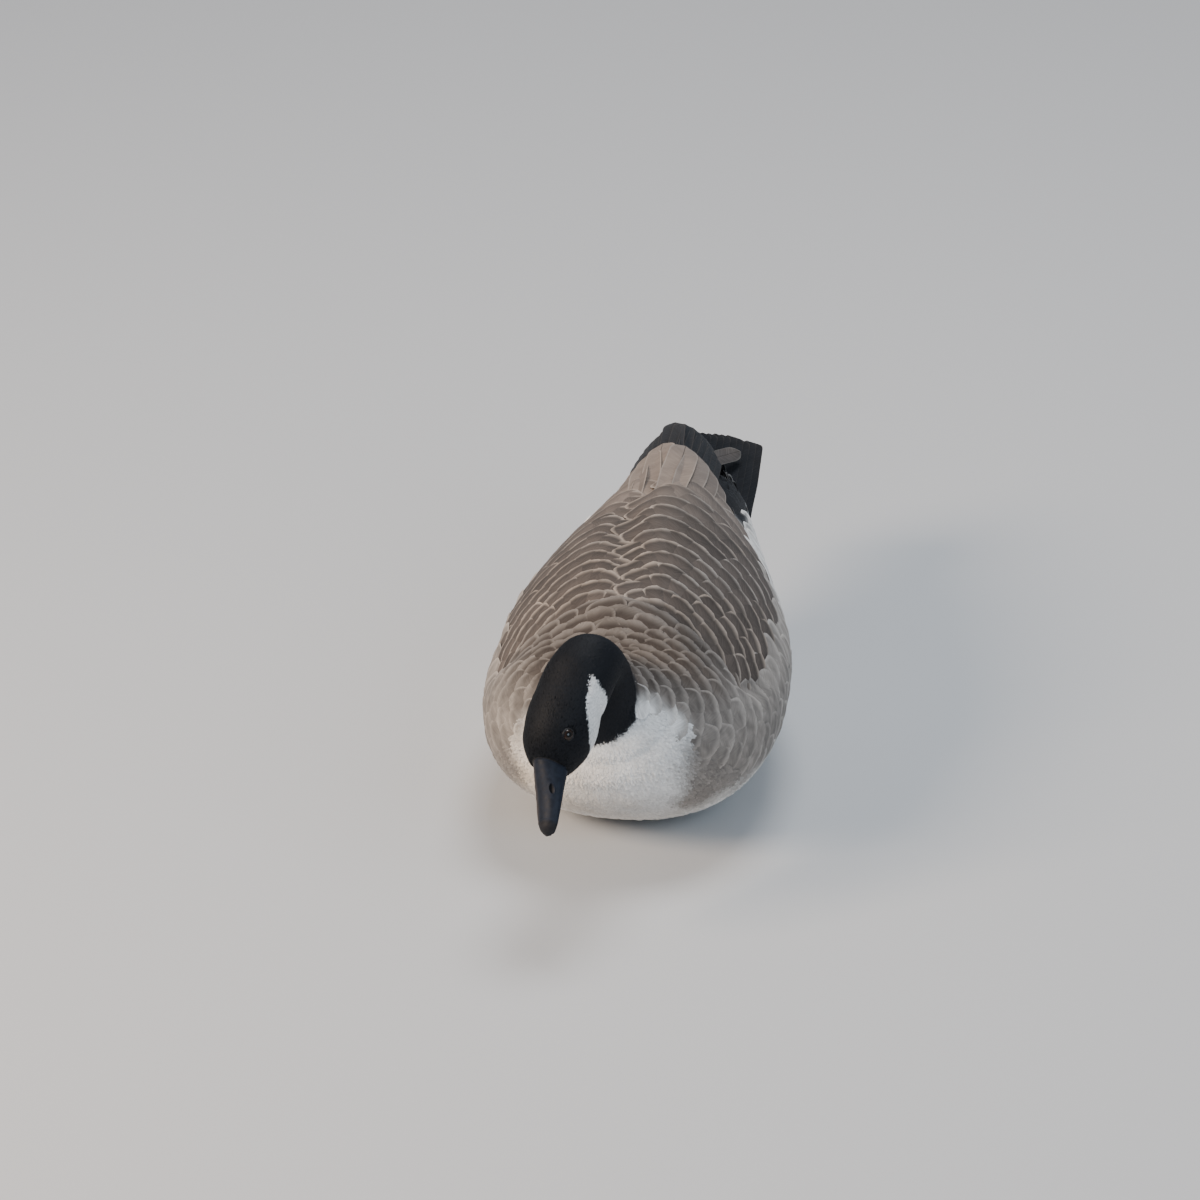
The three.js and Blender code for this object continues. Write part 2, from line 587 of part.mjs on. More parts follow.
function lowerBill() {
  const rows = 12;
  const [first, last] = [BILL[0].a, BILL[BILL.length - 1].a - LOWER_BILL.short];
  const across = 6;
  const sections = Array.from({ length: rows + 1 }, (_, i) => {
    const a = THREE.MathUtils.lerp(first, last, Math.sin((i / rows) * 90 * DEG));
    const { mouth, under, half } = billForm(a);
    const ring = [];
    for (let j = 0; j <= across; j++) {
      const angle = ((j / across) * 2 - 1) * 90 * DEG;
      const z = mouth - GAP - (mouth - GAP - under) * Math.cos(angle) ** LOWER_BILL.round;
      ring.push(new THREE.Vector3(half * LOWER_BILL.narrow * Math.sin(angle), -a, z));
    }
    return ring;
  });
  return solid(loft(sections));
}

const mesh = (name, made, finish) => {
  const one = new THREE.Mesh(geometryOf(made), new THREE.MeshStandardMaterial({ metalness: 0, ...finish }));
  one.name = name;
  return one;
};

const headGroup = new THREE.Group();
const nape = fleshFrame(NAPE_STATION);
new THREE.Matrix4().makeBasis(nape.left, nape.crown.clone().cross(nape.left), nape.crown)
  .setPosition(nape.middle)
  .decompose(headGroup.position, headGroup.quaternion, headGroup.scale);
headGroup.add(mesh('head', head(), FINISH.black));
headGroup.add(mesh('bill_upper', upperBill(), FINISH.bill));
headGroup.add(mesh('bill_lower', lowerBill(), FINISH.bill));
headGroup.add(mesh('eye_left', eyeBall(1), FINISH.eye));
headGroup.add(mesh('eye_right', eyeBall(-1), FINISH.eye));

const goose = new THREE.Group();
goose.add(mesh('torso', torso(), FINISH.plumage));
goose.add(mesh('neck', neck(), FINISH.black));
goose.add(mesh('tail', tail(), FINISH.black));
goose.add(headGroup);
for (const [name, side] of [['left', 1], ['right', -1]]) {
  goose.add(mesh('wing_' + name, wing(side), FINISH.wing));
  goose.add(mesh('leg_' + name, shin(side).subtract(foot(side, GAP)).subtract(underFloor()), FINISH.leg));
  goose.add(mesh('foot_' + name, foot(side).subtract(underFloor()), FINISH.leg));
}

export default goose;
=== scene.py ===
"""A still, life-size Canada goose, resting on its belly with its neck arched low and its bill pointing down.

The solids of the frame give the outline. Here one skin stands in for the flesh, and feathers cover it: long
vanes on the wings, the flanks and the tail, and fine tufts on the breast, the belly, the neck and the head.
"""
import logging
import math
from collections.abc import Callable
from dataclasses import dataclass, field
from enum import Enum

import bpy
import numpy as np
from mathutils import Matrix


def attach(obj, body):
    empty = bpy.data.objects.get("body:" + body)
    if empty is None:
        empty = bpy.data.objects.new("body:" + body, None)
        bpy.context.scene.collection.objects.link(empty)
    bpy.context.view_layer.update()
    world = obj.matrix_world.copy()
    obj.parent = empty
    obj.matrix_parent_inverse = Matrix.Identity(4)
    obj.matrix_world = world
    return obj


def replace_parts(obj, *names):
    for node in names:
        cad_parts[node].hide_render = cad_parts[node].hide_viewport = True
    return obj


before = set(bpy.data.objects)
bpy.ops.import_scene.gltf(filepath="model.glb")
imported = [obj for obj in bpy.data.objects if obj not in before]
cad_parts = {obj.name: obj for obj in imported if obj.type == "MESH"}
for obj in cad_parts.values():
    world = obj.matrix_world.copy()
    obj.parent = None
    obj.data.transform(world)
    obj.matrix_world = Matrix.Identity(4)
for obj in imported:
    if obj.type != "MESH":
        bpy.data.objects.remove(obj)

log = logging.getLogger("goose")

MM = 0.001
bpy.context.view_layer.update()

# Flesh from the root of the tail to the nape, in millimetres and degrees. Columns: y and z of the point on
# the back, y and z of the point on the belly, half width, squareness below and above, distance to the left,
# roll and turn.
FLESH = np.array([
    [292, 146, 290, 135, 24, 2.00, 2.00, -3, 0, 0],
    [258, 151, 250, 116, 40, 2.00, 2.00, 0, 0, 0],
    [226, 163, 214, 90, 57, 2.00, 1.90, 0, 0, 0],
    [184, 176, 170, 56, 73, 2.10, 1.75, 0, 0, 0],
    [128, 189, 120, 22, 92, 2.20, 1.60, 0, 0, 0],
    [62, 199, 60, -2, 111, 2.30, 1.60, 1, 0, 0],
    [-5, 203, -5, -3, 121, 2.30, 1.60, 2, 0, 0],
    [-65, 202, -75, -3, 122, 2.30, 1.60, 2, 0, 0],
    [-112, 195, -138, 12, 114, 2.25, 1.70, 1, 0, 0],
    [-138, 186, -190, 46, 100, 2.15, 1.90, -1, 0, 0],
    [-152, 178, -219, 84, 77, 2.05, 2.05, -4, 0, 0],
    [-161, 172, -227, 110, 49, 2.00, 2.00, -7, 0, 0],
    [-170, 174, -229, 127, 34, 2.00, 2.00, -9, 0, 0],
    [-196, 196, -233, 157, 28, 2.00, 2.00, -7, -4, 0],
    [-238, 222, -236, 171, 25.5, 2.00, 2.00, -8, -14, 6],
    [-271.2, 218.6, -252.8, 165.4, 27.8, 2.00, 2.00, -14, -25, 11],
    [-298.5, 201.7, -267.5, 155.3, 28.8, 2.00, 2.00, -20, -34, 8],
])
WIDEST = 0.47
SOCK = 12.0
NAPE = 16.0

# The head forward of the nape: distance, height of the crown, height of the throat, half width.
HEAD = np.array([
    [0, 27.9, -27.9, 28.8],
    [12, 28.6, -28.8, 29.4],
    [26, 28.3, -28.8, 27.6],
    [40, 26.5, -25.5, 23.8],
    [50, 22.0, -20.5, 18.4],
    [57, 16.5, -16.0, 14.0],
])
HEAD_LONG = 57.0
HEAD_STATIONS = 6.0
FACE = NAPE + HEAD_STATIONS
EYE = {"middle": (18.5, 34.6, 7.4), "axis": (0.92, 0.26, 0.30), "radius": 6.5, "long": 5.0, "high": 4.2,
       "tilt": 12.0}
EYE_OPENING = {"a": 35.7, "up": 8.8, "ahead": 7.4, "behind": 5.6, "high": 4.9}

# The bill: distance forward of the nape, culmen, line of the mouth, underside, half width.
BILL = np.array([
    [57.3, 14.0, -6.0, -14.5, 12.5],
    [69, 7.5, -7.5, -15.5, 12.2],
    [82, 0.0, -10.5, -17.0, 11.5],
    [94, -5.5, -13.5, -18.5, 10.4],
    [102, -9.0, -16.5, -19.5, 8.4],
    [107, -12.5, -18.0, -20.3, 5.2],
    [109, -15.5, -18.5, -20.8, 2.2],
])
NOSTRIL = {"a": 77.0, "up": -1.2, "long": 4.4, "high": 1.5, "deep": 1.8, "slope": 30.0}

# Folded wings as upright sections along y: top, half width, height of the widest line, distance to the left.
FOLD = np.array([
    [-160, 184, 94, 97, 0],
    [-110, 200, 108, 95, 0],
    [-50, 207, 120, 93, 0],
    [10, 208, 119, 91, 0],
    [70, 205, 107, 93, 0],
    [130, 198, 85, 102, -1],
    [190, 188, 60, 118, -4],
    [250, 177, 43, 137, -9],
    [300, 169, 28, 147, -13],
    [352, 163, 19, 154, -17],
])
FOLD_SQUARE = 1.6
WING_FRONT, WING_BACK = -150.0, 284.0

# The place of the meeting line of the two wings, to the goose's left of the middle.
SEAM = np.array([[-172, 8], [-80, -1], [0, -14], [55, -22], [110, -14], [170, -4], [352, 0]])

TAIL = {"root": (222.0, 126.0), "tip": (343.0, 150.5), "root_apart": 7.5, "tip_apart": 6.5, "half": 9.5,
        "layer": 0.93, "shorter": 12.0, "left": 3.0, "raised": 8.0, "feathers": 16}
# How steeply the fan's plane rises backwards and to the left.
FAN_BACK, FAN_LEFT = 0.2, 0.14
LEG = {"x": 50.0, "hock": (104.0, 15.0), "toes": (8.0, 8.0)}

CAMERA = {"azimuth": 8.5, "elevation": 24.7, "distance": 6.15, "target": (0.0, -0.03, 0.15), "view": 9.2,
          "sensor": 36.0, "shift": (-0.0320, 0.00825)}

BLACK = np.array((0.0060, 0.0072, 0.0100))
WHITE = np.array((0.78, 0.78, 0.77))
CREAM = np.array((0.78, 0.67, 0.54))
BROWN = np.array((0.060, 0.048, 0.041))
BUFF = np.array((0.33, 0.27, 0.222))
FLANK = np.array((0.150, 0.134, 0.122))
FLANK_EDGE = np.array((0.34, 0.31, 0.28))
TERTIAL = np.array((0.225, 0.18, 0.15))


class Side(Enum):
    """The goose's own side."""

    LEFT = 1
    RIGHT = -1

    @property
    def word(self) -> str:
        """The side's name for a piece."""
        return self.name.lower()

    def pick(self, left: float | tuple, right: float | tuple) -> float | tuple:
        """The first value on the left side and the second on the right."""
        return left if self is Side.LEFT else right


def smooth(low: float, high: float, value: np.ndarray) -> np.ndarray:
    """A soft step from 0 at low to 1 at high: 3t^2 - 2t^3."""
    t = np.clip((np.asarray(value, float) - low) / (high - low), 0, 1)
    return t * t * (3 - 2 * t)


def catmull(table: np.ndarray, at: np.ndarray) -> np.ndarray:
    """A Catmull-Rom curve through the rows of a table.

    p = (2p1 + (p2 - p0)w + (2p0 - 5p1 + 4p2 - p3)w^2 + (3p1 - p0 - 3p2 + p3)w^3) / 2

    Args:
        table: one row for each station.
        at: fractional station numbers, of any shape.

    Returns:
        The values there, with one more axis than at.
    """
    at = np.clip(np.asarray(at, float), 0, len(table) - 1)
    i = np.minimum(at.astype(int), len(table) - 2)
    w = (at - i)[..., None]
    rows = np.vstack([2 * table[0] - table[1], table, 2 * table[-1] - table[-2]])
    p0, p1, p2, p3 = (rows[i + k] for k in range(4))
    return 0.5 * (2 * p1 + (p2 - p0) * w + (2 * p0 - 5 * p1 + 4 * p2 - p3) * w ** 2
                  + (3 * p1 - p0 - 3 * p2 + p3) * w ** 3)


def hermite(table: np.ndarray, at: np.ndarray) -> np.ndarray:
    """A cubic curve through rows whose first column is where they lie.

    p = (2w^3 - 3w^2 + 1)p0 + (w^3 - 2w^2 + w)hm0 + (3w^2 - 2w^3)p1 + (w^3 - w^2)hm1, with h the step.

    Args:
        table: rows of a place and its values.
        at: places to read, of any shape.

    Returns:
        The values there, without the first column.
    """
    keys, values = table[:, 0], table[:, 1:]
    slope = np.gradient(values, keys, axis=0)
    at = np.clip(np.asarray(at, float), keys[0], keys[-1])
    i = np.clip(np.searchsorted(keys, at, side="right") - 1, 0, len(keys) - 2)
    step = (keys[i + 1] - keys[i])[..., None]
    w = (at - keys[i])[..., None] / step
    return ((2 * w ** 3 - 3 * w ** 2 + 1) * values[i] + (w ** 3 - 2 * w ** 2 + w) * step * slope[i]
            + (3 * w ** 2 - 2 * w ** 3) * values[i + 1] + (w ** 3 - w ** 2) * step * slope[i + 1])


def squared(value: np.ndarray, square: np.ndarray) -> np.ndarray:
    """A sine or cosine drawn out towards a box's sides: sign(v)|v|^(2/square)."""
    return np.sign(value) * np.abs(value) ** (2 / square)


def unit(vectors: np.ndarray) -> np.ndarray:
    """Vectors brought to length one along the last axis."""
    return vectors / np.maximum(np.linalg.norm(vectors, axis=-1, keepdims=True), 1e-12)


def running(steps: np.ndarray) -> np.ndarray:
    """The running total of steps, from 0."""
    return np.concatenate([[0], np.cumsum(steps)])


def run_along(points: np.ndarray) -> np.ndarray:
    """The distance of each point along the line through them."""
    return running(np.linalg.norm(np.diff(points, axis=0), axis=1))


def full_turn(count: int) -> np.ndarray:
    """Evenly spaced angles round a full turn."""
    return np.linspace(0, 2 * math.pi, count, endpoint=False)


def each(values: np.ndarray) -> np.ndarray:
    """What belongs to each feather, ready to spread over its grid of points."""
    return values[:, None, None]


def ripple(points: np.ndarray, size: float, seed: int) -> np.ndarray:
    """Smooth seeded variation from -1 to 1: the mean of sines along random directions.

    Args:
        points: places in millimetres.
        size: the rough distance between one high and the next, in millimetres.
        seed: picks the directions and phases.

    Returns:
        One value for each point.
    """
    draw = np.random.default_rng(seed)
    ways = draw.normal(size=(7, 3)) * 2 * math.pi / size / 1.7
    phases = draw.uniform(0, 2 * math.pi, 7)
    return np.clip(np.sin(points @ ways.T + phases).mean(-1) * 1.9, -1, 1)


@dataclass
class Form:
    """The bird's flesh, as one tube from the tail's root to the bill, with distances in millimetres.

    The cheeks swell by a share of the half width round a place forward of the nape. The neck's sections turn
    into the head's over a part of a station. Directions are found from steps along and round the body.
    """

    flesh: np.ndarray = field(default_factory=lambda: FLESH)
    cheek_swell: float = 0.05
    cheek_at: float = 22.0
    cheek_long: float = 11.0
    change: float = 0.35
    step: float = 0.02
    turn: float = 0.01

    def frames(self, at: np.ndarray) -> tuple[np.ndarray, ...]:
        """The middle, left, crown and height of the flesh's sections.

        Args:
            at: station numbers up to the nape.

        Returns:
            Middle, left, crown (each with three columns) and height.
        """
        row = catmull(self.flesh, at)
        back, belly = (np.stack([row[..., 7], row[..., i], row[..., i + 1]], -1) for i in (0, 2))
        height = np.linalg.norm(back - belly, axis=-1, keepdims=True)
        up = (back - belly) / height
        roll, turn = np.radians(row[..., 8:9]), np.radians(row[..., 9:10])
        level = np.concatenate([np.cos(turn), -np.sin(turn), 0 * turn], -1)
        up = np.concatenate([up[..., 1:2] * np.sin(turn), up[..., 1:2] * np.cos(turn), up[..., 2:3]], -1)
        left = level * np.cos(roll) - up * np.sin(roll)
        crown = level * np.sin(roll) + up * np.cos(roll)
        return (back + belly) / 2, left, crown, height

    def head_axes(self) -> tuple[np.ndarray, ...]:
        """The nape's middle and the directions of the head's left, front and crown."""
        middle, left, crown, _ = self.frames(np.array(NAPE))
        return middle, left, np.cross(left, crown), crown

    def from_head(self, local: np.ndarray) -> np.ndarray:
        """Places given as left, forward and up in the head, in the goose's frame."""
        middle, left, front, crown = self.head_axes()
        return middle + local[..., 0:1] * left + local[..., 1:2] * front + local[..., 2:3] * crown

    def to_head(self, points: np.ndarray) -> np.ndarray:
        """Places in the goose's frame as left, forward and up in the head."""
        middle, *axes = self.head_axes()
        return np.stack([(points - middle) @ axis for axis in axes], -1)

    def surface(self, at: np.ndarray, angle: np.ndarray) -> np.ndarray:
        """A place on the body at a station and an angle round it.

        A section is middle + left h sin^(2/q) + crown H(w - 1/2 + r(cos)) with r scaled above and below its
        widest line. Past the nape it is an ellipse between crown and throat.

        Args:
            at: station from 0, the tail, to FACE, the bill.
            angle: from the middle of the back, 0, by the left side to the belly, pi, and on.

        Returns:
            Points in millimetres.
        """
        at, angle = np.broadcast_arrays(np.asarray(at, float), np.asarray(angle, float))
        row = catmull(self.flesh, at)
        middle, left, crown, height = self.frames(at)
        square = np.where(np.cos(angle) > 0, row[..., 6], row[..., 5])
        rise = squared(np.cos(angle), square)
        reach = np.where(rise > 0, 1 - WIDEST, WIDEST)
        aside = row[..., 4] * squared(np.sin(angle), square)
        body = middle + left * aside[..., None] + crown * height * (WIDEST - 0.5 + rise * reach)[..., None]
        a = np.clip((at - NAPE) / HEAD_STATIONS, 0, 1) * HEAD_LONG
        top, low, half = np.moveaxis(hermite(HEAD, a), -1, 0)
        swell = np.exp(-((a - self.cheek_at) / self.cheek_long) ** 2)
        cheek = 1 + self.cheek_swell * swell * np.clip(-np.cos(angle), 0, 1)
        up = (top + low) / 2 + (top - low) / 2 * np.cos(angle)
        local = np.stack([half * cheek * np.sin(angle), a, up], -1)
        share = smooth(NAPE - self.change, NAPE + self.change, at)[..., None]
        return body * (1 - share) + self.from_head(local) * share

    def place(self, at: np.ndarray, angle: np.ndarray) -> tuple[np.ndarray, ...]:
        """Places on the body with the way out and the way back along it.

        Args:
            at: stations.
            angle: angles round the section.

        Returns:
            Points, unit normals that point out, and unit directions towards the tail.
        """
        low, high = np.clip(at - self.step, 0, FACE), np.clip(at + self.step, 0, FACE)
        along = unit(self.surface(high, angle) - self.surface(low, angle))
        beside = unit(self.surface(at, angle + self.turn) - self.surface(at, angle - self.turn))
        return self.surface(at, angle), unit(np.cross(along, beside)), -along


def fold_row(y: np.ndarray) -> np.ndarray:
    """Top, half width, height of the widest line and distance to the left of the folded wings at y."""
    return hermite(FOLD, y)


def seam(y: np.ndarray) -> np.ndarray:
    """The distance of the wings' meeting line to the left of the middle of the back."""
    return np.interp(y, SEAM[:, 0], SEAM[:, 1])


@dataclass
class Fold:
    """The upper surface of the folded wings, by y and by the distance round it from the middle of the back.

    A shallow valley runs along the line where the two wings meet.
    """

    step_y: float = 3.0
    steps: int = 72
    reach: float = 190.0
    valley: float = 5.5
    valley_wide: float = 15.0

    def __post_init__(self) -> None:
        """Works out the angle for each distance round each section, as a table to read between."""
        self.ys = np.arange(FOLD[0, 0], FOLD[-1, 0] + 1, self.step_y)
        turns = np.linspace(0, math.pi / 2, self.steps)
        points = self.section(self.ys[:, None], turns[None, :])
        arcs = np.array([run_along(line) for line in points])
        grid = np.arange(0, self.reach)
        self.angles = np.array([np.interp(grid, arc, turns) for arc in arcs])
        edges = self.lower_angle(self.ys)
        self.wide = np.array([np.interp(edge, turns, arc) for edge, arc in zip(edges, arcs)])

    @staticmethod
    def section(y: np.ndarray, turn: np.ndarray) -> np.ndarray:
        """A place on an upright section through the wings.

        x = h sin^(2/q), z = e + (t - e) cos^(2/q) for the half width h, edge e and top t at y.

        Args:
            y: places along the body.
            turn: angles from the top.

        Returns:
            Points in millimetres, to the left of the section's middle.
        """
        y, turn = np.broadcast_arrays(np.asarray(y, float), turn)
        top, half, edge, _ = np.moveaxis(fold_row(y), -1, 0)
        x = half * squared(np.sin(turn), FOLD_SQUARE)
        return np.stack([x, y, edge + (top - edge) * squared(np.cos(turn), FOLD_SQUARE)], -1)

    @staticmethod
    def lower_angle(y: np.ndarray) -> np.ndarray:
        """The angle at which the wing's lower edge lies: 71 degrees, more at both ends, less far ahead.

        Args:
            y: places along the body.

        Returns:
            Angles from the top, in radians.
        """
        front, back = smooth(40, 150, -y), smooth(120, 250, y)
        raised = 9 * smooth(40, 120, y) * smooth(250, 190, y)
        return np.radians(71 + 17 * front + 13 * back - raised - 60 * smooth(70, 190, -y) ** 2)

    def edge(self, y: np.ndarray) -> np.ndarray:
        """The distance round the back from its middle to the wing's lower edge."""
        return np.interp(y, self.ys, self.wide)

    def bare(self, y: np.ndarray, distance: np.ndarray) -> np.ndarray:
        """A place on the fold without lift or valley, its angle read between the table's rows and columns.

        Args:
            y: places along the body.
            distance: signed distance round from the middle of the back.

        Returns:
            Points in millimetres.
        """
        row = np.clip((y - self.ys[0]) / self.step_y, 0, len(self.ys) - 1.001)
        column = np.clip(np.abs(distance), 0, self.reach - 2.001)
        i, j = row.astype(int), column.astype(int)
        u, v = row - i, column - j
        a = self.angles
        angle = ((a[i, j] * (1 - v) + a[i, j + 1] * v) * (1 - u)
                 + (a[i + 1, j] * (1 - v) + a[i + 1, j + 1] * v) * u)
        point = self.section(np.clip(y, FOLD[0, 0], FOLD[-1, 0]), angle)
        point[..., 0] = point[..., 0] * np.sign(distance + 1e-9) + fold_row(y)[..., 3]
        point[..., 1] = y
        return point

    def surface(self, y: np.ndarray, distance: np.ndarray, lift: np.ndarray) -> np.ndarray:
        """A place over the fold.

        Args:
            y: places along the body.
            distance: signed distance round from the middle of the back, positive to the left.
            lift: height over the surface.

        Returns:
            Points in millimetres.
        """
        y, distance, lift = np.broadcast_arrays(y, distance, lift)
        middle = np.exp(-((distance - seam(y)) / self.valley_wide) ** 2)
        valley = self.valley * middle * smooth(-125, -75, y) * smooth(215, 160, y)
        along = self.bare(y + 2, distance) - self.bare(y - 2, distance)
        across = self.bare(y, distance + 1.5) - self.bare(y, distance - 1.5)
        return self.bare(y, distance) + unit(np.cross(across, along)) * (lift - valley)[..., None]


FORM = Form()
WINGS = Fold()


def wing_cover(points: np.ndarray) -> tuple[np.ndarray, ...]:
    """How places on the body lie to the folded wings.

    Args:
        points: places in millimetres.

    Returns:
        How much each is within the wings' outline, its height over their surface along the ray from the
        middle of the fold, and the length of that ray.
    """
    x, y, z = np.moveaxis(points, -1, 0)
    top, half, edge, aside = np.moveaxis(fold_row(y), -1, 0)
    across, above = np.abs(x - aside) / half, np.maximum(z - edge, 0) / (top - edge)
    size = np.maximum((across ** FOLD_SQUARE + above ** FOLD_SQUARE) ** (1 / FOLD_SQUARE), 1e-3)
    turn = np.arctan2(across ** (FOLD_SQUARE / 2), above ** (FOLD_SQUARE / 2))
    ray = np.maximum(np.hypot(x - aside, z - edge), 1e-3)
    share = smooth(0.0, 0.15, Fold.lower_angle(y) - turn) * smooth(-158, -124, y) * smooth(298, 270, y)
    return share, ray * (1 - 1 / size), ray


def fit_wings(points: np.ndarray, low: np.ndarray | float, high: np.ndarray | float) -> np.ndarray:
    """Moves places within the wings' outline until their height over the wings is between two limits.

    Args:
        points: places in millimetres.
        low: the least height.
        high: the greatest.

    Returns:
        The moved places.
    """
    share, height, ray = wing_cover(points)
    scale = 1 + share * (np.clip(height, low, high) - height) / ray
    row = fold_row(points[..., 1])
    centre = np.stack([row[..., 3], points[..., 1], row[..., 2]], -1)
    return centre + (points - centre) * np.stack([scale, np.ones_like(scale), scale], -1)


def breast_edges(points: np.ndarray, apart: np.ndarray, wide: float) -> tuple[np.ndarray, np.ndarray]:
    """How far places lie outside the pale breast.

    Args:
        points: places in millimetres.
        apart: their distances from the breast's middle line.
        wide: the breast's half width, at a height of 90 mm and a y of -199 mm.

    Returns:
        The distances over its top, which is 151 mm high and lower to the sides, and beside its edge.
    """
    _, y, z = np.moveaxis(points, -1, 0)
    over = z - (151 - 0.55 * np.clip(apart - 24, 0, 60))
    return over, apart - (wide + 0.10 * (z - 90)) + 0.30 * (y + 199)


def blend(first: np.ndarray, second: np.ndarray, share: np.ndarray) -> np.ndarray:
    """Colours mixed by a share for each point."""
    share = np.asarray(share)[..., None]
    return np.asarray(first) * (1 - share) + np.asarray(second) * share


class Markings:
    """The bird's colours as formulas of place, the same on the skin and on every feather."""

    @staticmethod
    def cheek(local: np.ndarray) -> np.ndarray:
        """How much a place on the head lies in the white patch that runs from the throat up behind each eye.

        Args:
            local: left, forward and up in the head, in millimetres.

        Returns:
            0 for black to 1 for white.
        """
        a, up = local[..., 1], local[..., 2]
        wobble = ripple(local, 9, 5)
        back = np.interp(up, [-28, -10, -1, 8], [-5.0, -9.0, -11.0, -15.0]) + wobble
        front = np.interp(up, [-28, -12, 3, 6, 9], [38.0, 33.5, 14.5, 3.0, -14.0]) + wobble
        return smooth(-1, 1, a - back) * smooth(-1, 1, front - a) * smooth(9.0, 7.6, up)

    @staticmethod
    def breast(points: np.ndarray, wobble: np.ndarray) -> np.ndarray:
        """The pale breast: white, creamier to the right and low down, and dimmer towards the waterline.

        The creamier tone to the right is painted warm light on the lit side, and the dimming is painted shade.

        Args:
            points: places in millimetres.
            wobble: slow variation from -1 to 1.

        Returns:
            Linear red, green and blue for each place.
        """
        x, _, z = np.moveaxis(points, -1, 0)
        # Share of the creamy tone: real low down, and painted warm light on the goose's right, its lit side.
        cream_and_painted_warm_light = np.clip(0.3 + 0.25 * wobble - x / 110, 0, 1) * smooth(150, 70, z)
        # Painted shade: the factor from z darkens the breast towards the waterline.
        return blend(WHITE, CREAM, cream_and_painted_warm_light) * (1 - 0.34 * smooth(110, 35, z))[..., None]

    @staticmethod
    def rump(points: np.ndarray) -> np.ndarray:
        """How much a place lies above the line between the white undertail and the black rump.

        Args:
            points: places in millimetres.

        Returns:
            0 for below to 1 for above.
        """
        x, y, z = np.moveaxis(points, -1, 0)
        near_tail = smooth(200, 225, y)
        waist = 139 - 15 * near_tail + FAN_BACK * np.maximum(y - 225, 0) + FAN_LEFT * x * near_tail
        return smooth(-5, 5, z - waist) * smooth(150, 175, y)

    @classmethod
    def body(cls, points: np.ndarray, at: np.ndarray) -> np.ndarray:
        """The colour of the plumage at places on the body, laid one over the other from breast to cheek.

        Args:
            points: places in millimetres.
            at: their stations.

        Returns:
            Linear red, green and blue for each place.
        """
        x, y, z = np.moveaxis(points, -1, 0)
        wobble, fine = ripple(points, 26, 11), ripple(points, 7, 12)
        apart = np.abs(x + 3) - 8 * smooth(0, -30, x) * smooth(130, 100, z)
        over, beside = breast_edges(points, apart, 60)
        brown = np.maximum(smooth(-7, 7, over + 3 * wobble), smooth(-16, 12, beside + 6 * wobble))
        side = blend(FLANK, FLANK_EDGE, 0.35 + 0.25 * fine + 0.45 * smooth(-90, 20, y))
        shoulder = blend(side, BROWN, smooth(120, 168, z + 5 * wobble) * smooth(60, -150, y))
        colour = blend(cls.breast(points, wobble), shoulder, brown)
        low = smooth(66, 34, z + 6 * wobble) + smooth(62, 96, y + 0.35 * (120 - z) + 7 * wobble)
        belly = blend(WHITE, CREAM, 0.2 + 0.1 * fine)
        colour = blend(colour, belly, np.clip(low, 0, 1) * smooth(-215, -150, y))
        colour = blend(colour, BLACK * 1.4, cls.rump(points))
        colour = blend(colour, BLACK, smooth(-0.10, 0.06, at - SOCK + 0.05 * fine))
        return blend(colour, WHITE, cls.cheek(FORM.to_head(points)) * (at > NAPE - 1.4))


def grid_faces(rows: int, columns: int, wrap: bool = False) -> np.ndarray:
    """Quads of a grid of points, row after row.

    Args:
        rows: points along.
        columns: points across.
        wrap: whether the last column meets the first.

    Returns:
        Four point numbers for each quad.
    """
    i, j = np.meshgrid(np.arange(rows - 1), np.arange(columns if wrap else columns - 1), indexing="ij")
    k = (j + 1) % columns
    quads = [i * columns + j, i * columns + k, (i + 1) * columns + k, (i + 1) * columns + j]
    return np.stack(quads, -1).reshape(-1, 4)


def tube_faces(rows: int, columns: int, flip: bool = False) -> list[np.ndarray]:
    """Faces of a closed tube: its quads, and one face over each of its ends.

    Args:
        rows: points along.
        columns: points round.
        flip: whether the grid runs the other way round.

    Returns:
        The quads and the two ends.
    """
    ring = np.arange(columns)
    ends = np.stack([ring[::-1], (rows - 1) * columns + ring])
    return [group[:, ::-1] if flip else group for group in (grid_faces(rows, columns, True), ends)]


def shell_faces(rows: int, columns: int) -> np.ndarray:
    """Quads of a closed thin shell over a grid: an upper and a lower sheet that share their rim.

    The lower sheet's points follow the upper sheet's, and those on the rim aren't used.

    Args:
        rows: points along.
        columns: points across.

    Returns:
        Quads of both sheets.
    """
    top = grid_faces(rows, columns)
    number = np.arange(rows * columns).reshape(rows, columns)
    lower = number + rows * columns
    lower[0], lower[-1], lower[:, 0], lower[:, -1] = number[0], number[-1], number[:, 0], number[:, -1]
    return np.vstack([top, lower.ravel()[top][:, ::-1]])


def repeated(faces: np.ndarray, count: int, points: int) -> np.ndarray:
    """The same faces for each of a count of shapes of so many points each."""
    return (faces[None] + each(np.arange(count)) * points).reshape(-1, faces.shape[1])


Group = bpy.types.bpy_prop_collection
Socket = bpy.types.NodeSocket
Value = Socket | float | tuple


def fill(group: Group, part: str, values: np.ndarray) -> None:
    """Writes numbers to one part of each item of a mesh's group."""
    group.foreach_set(part, np.ascontiguousarray(values, dtype=np.float32).ravel())


def show(name: str, data: bpy.types.ID) -> bpy.types.Object:
    """Puts a mesh, a lamp or a camera in the scene.

    Args:
        name: the object's name.
        data: what it shows.

    Returns:
        The new object.
    """
    placed = bpy.data.objects.new(name, data)
    bpy.context.scene.collection.objects.link(placed)
    return placed


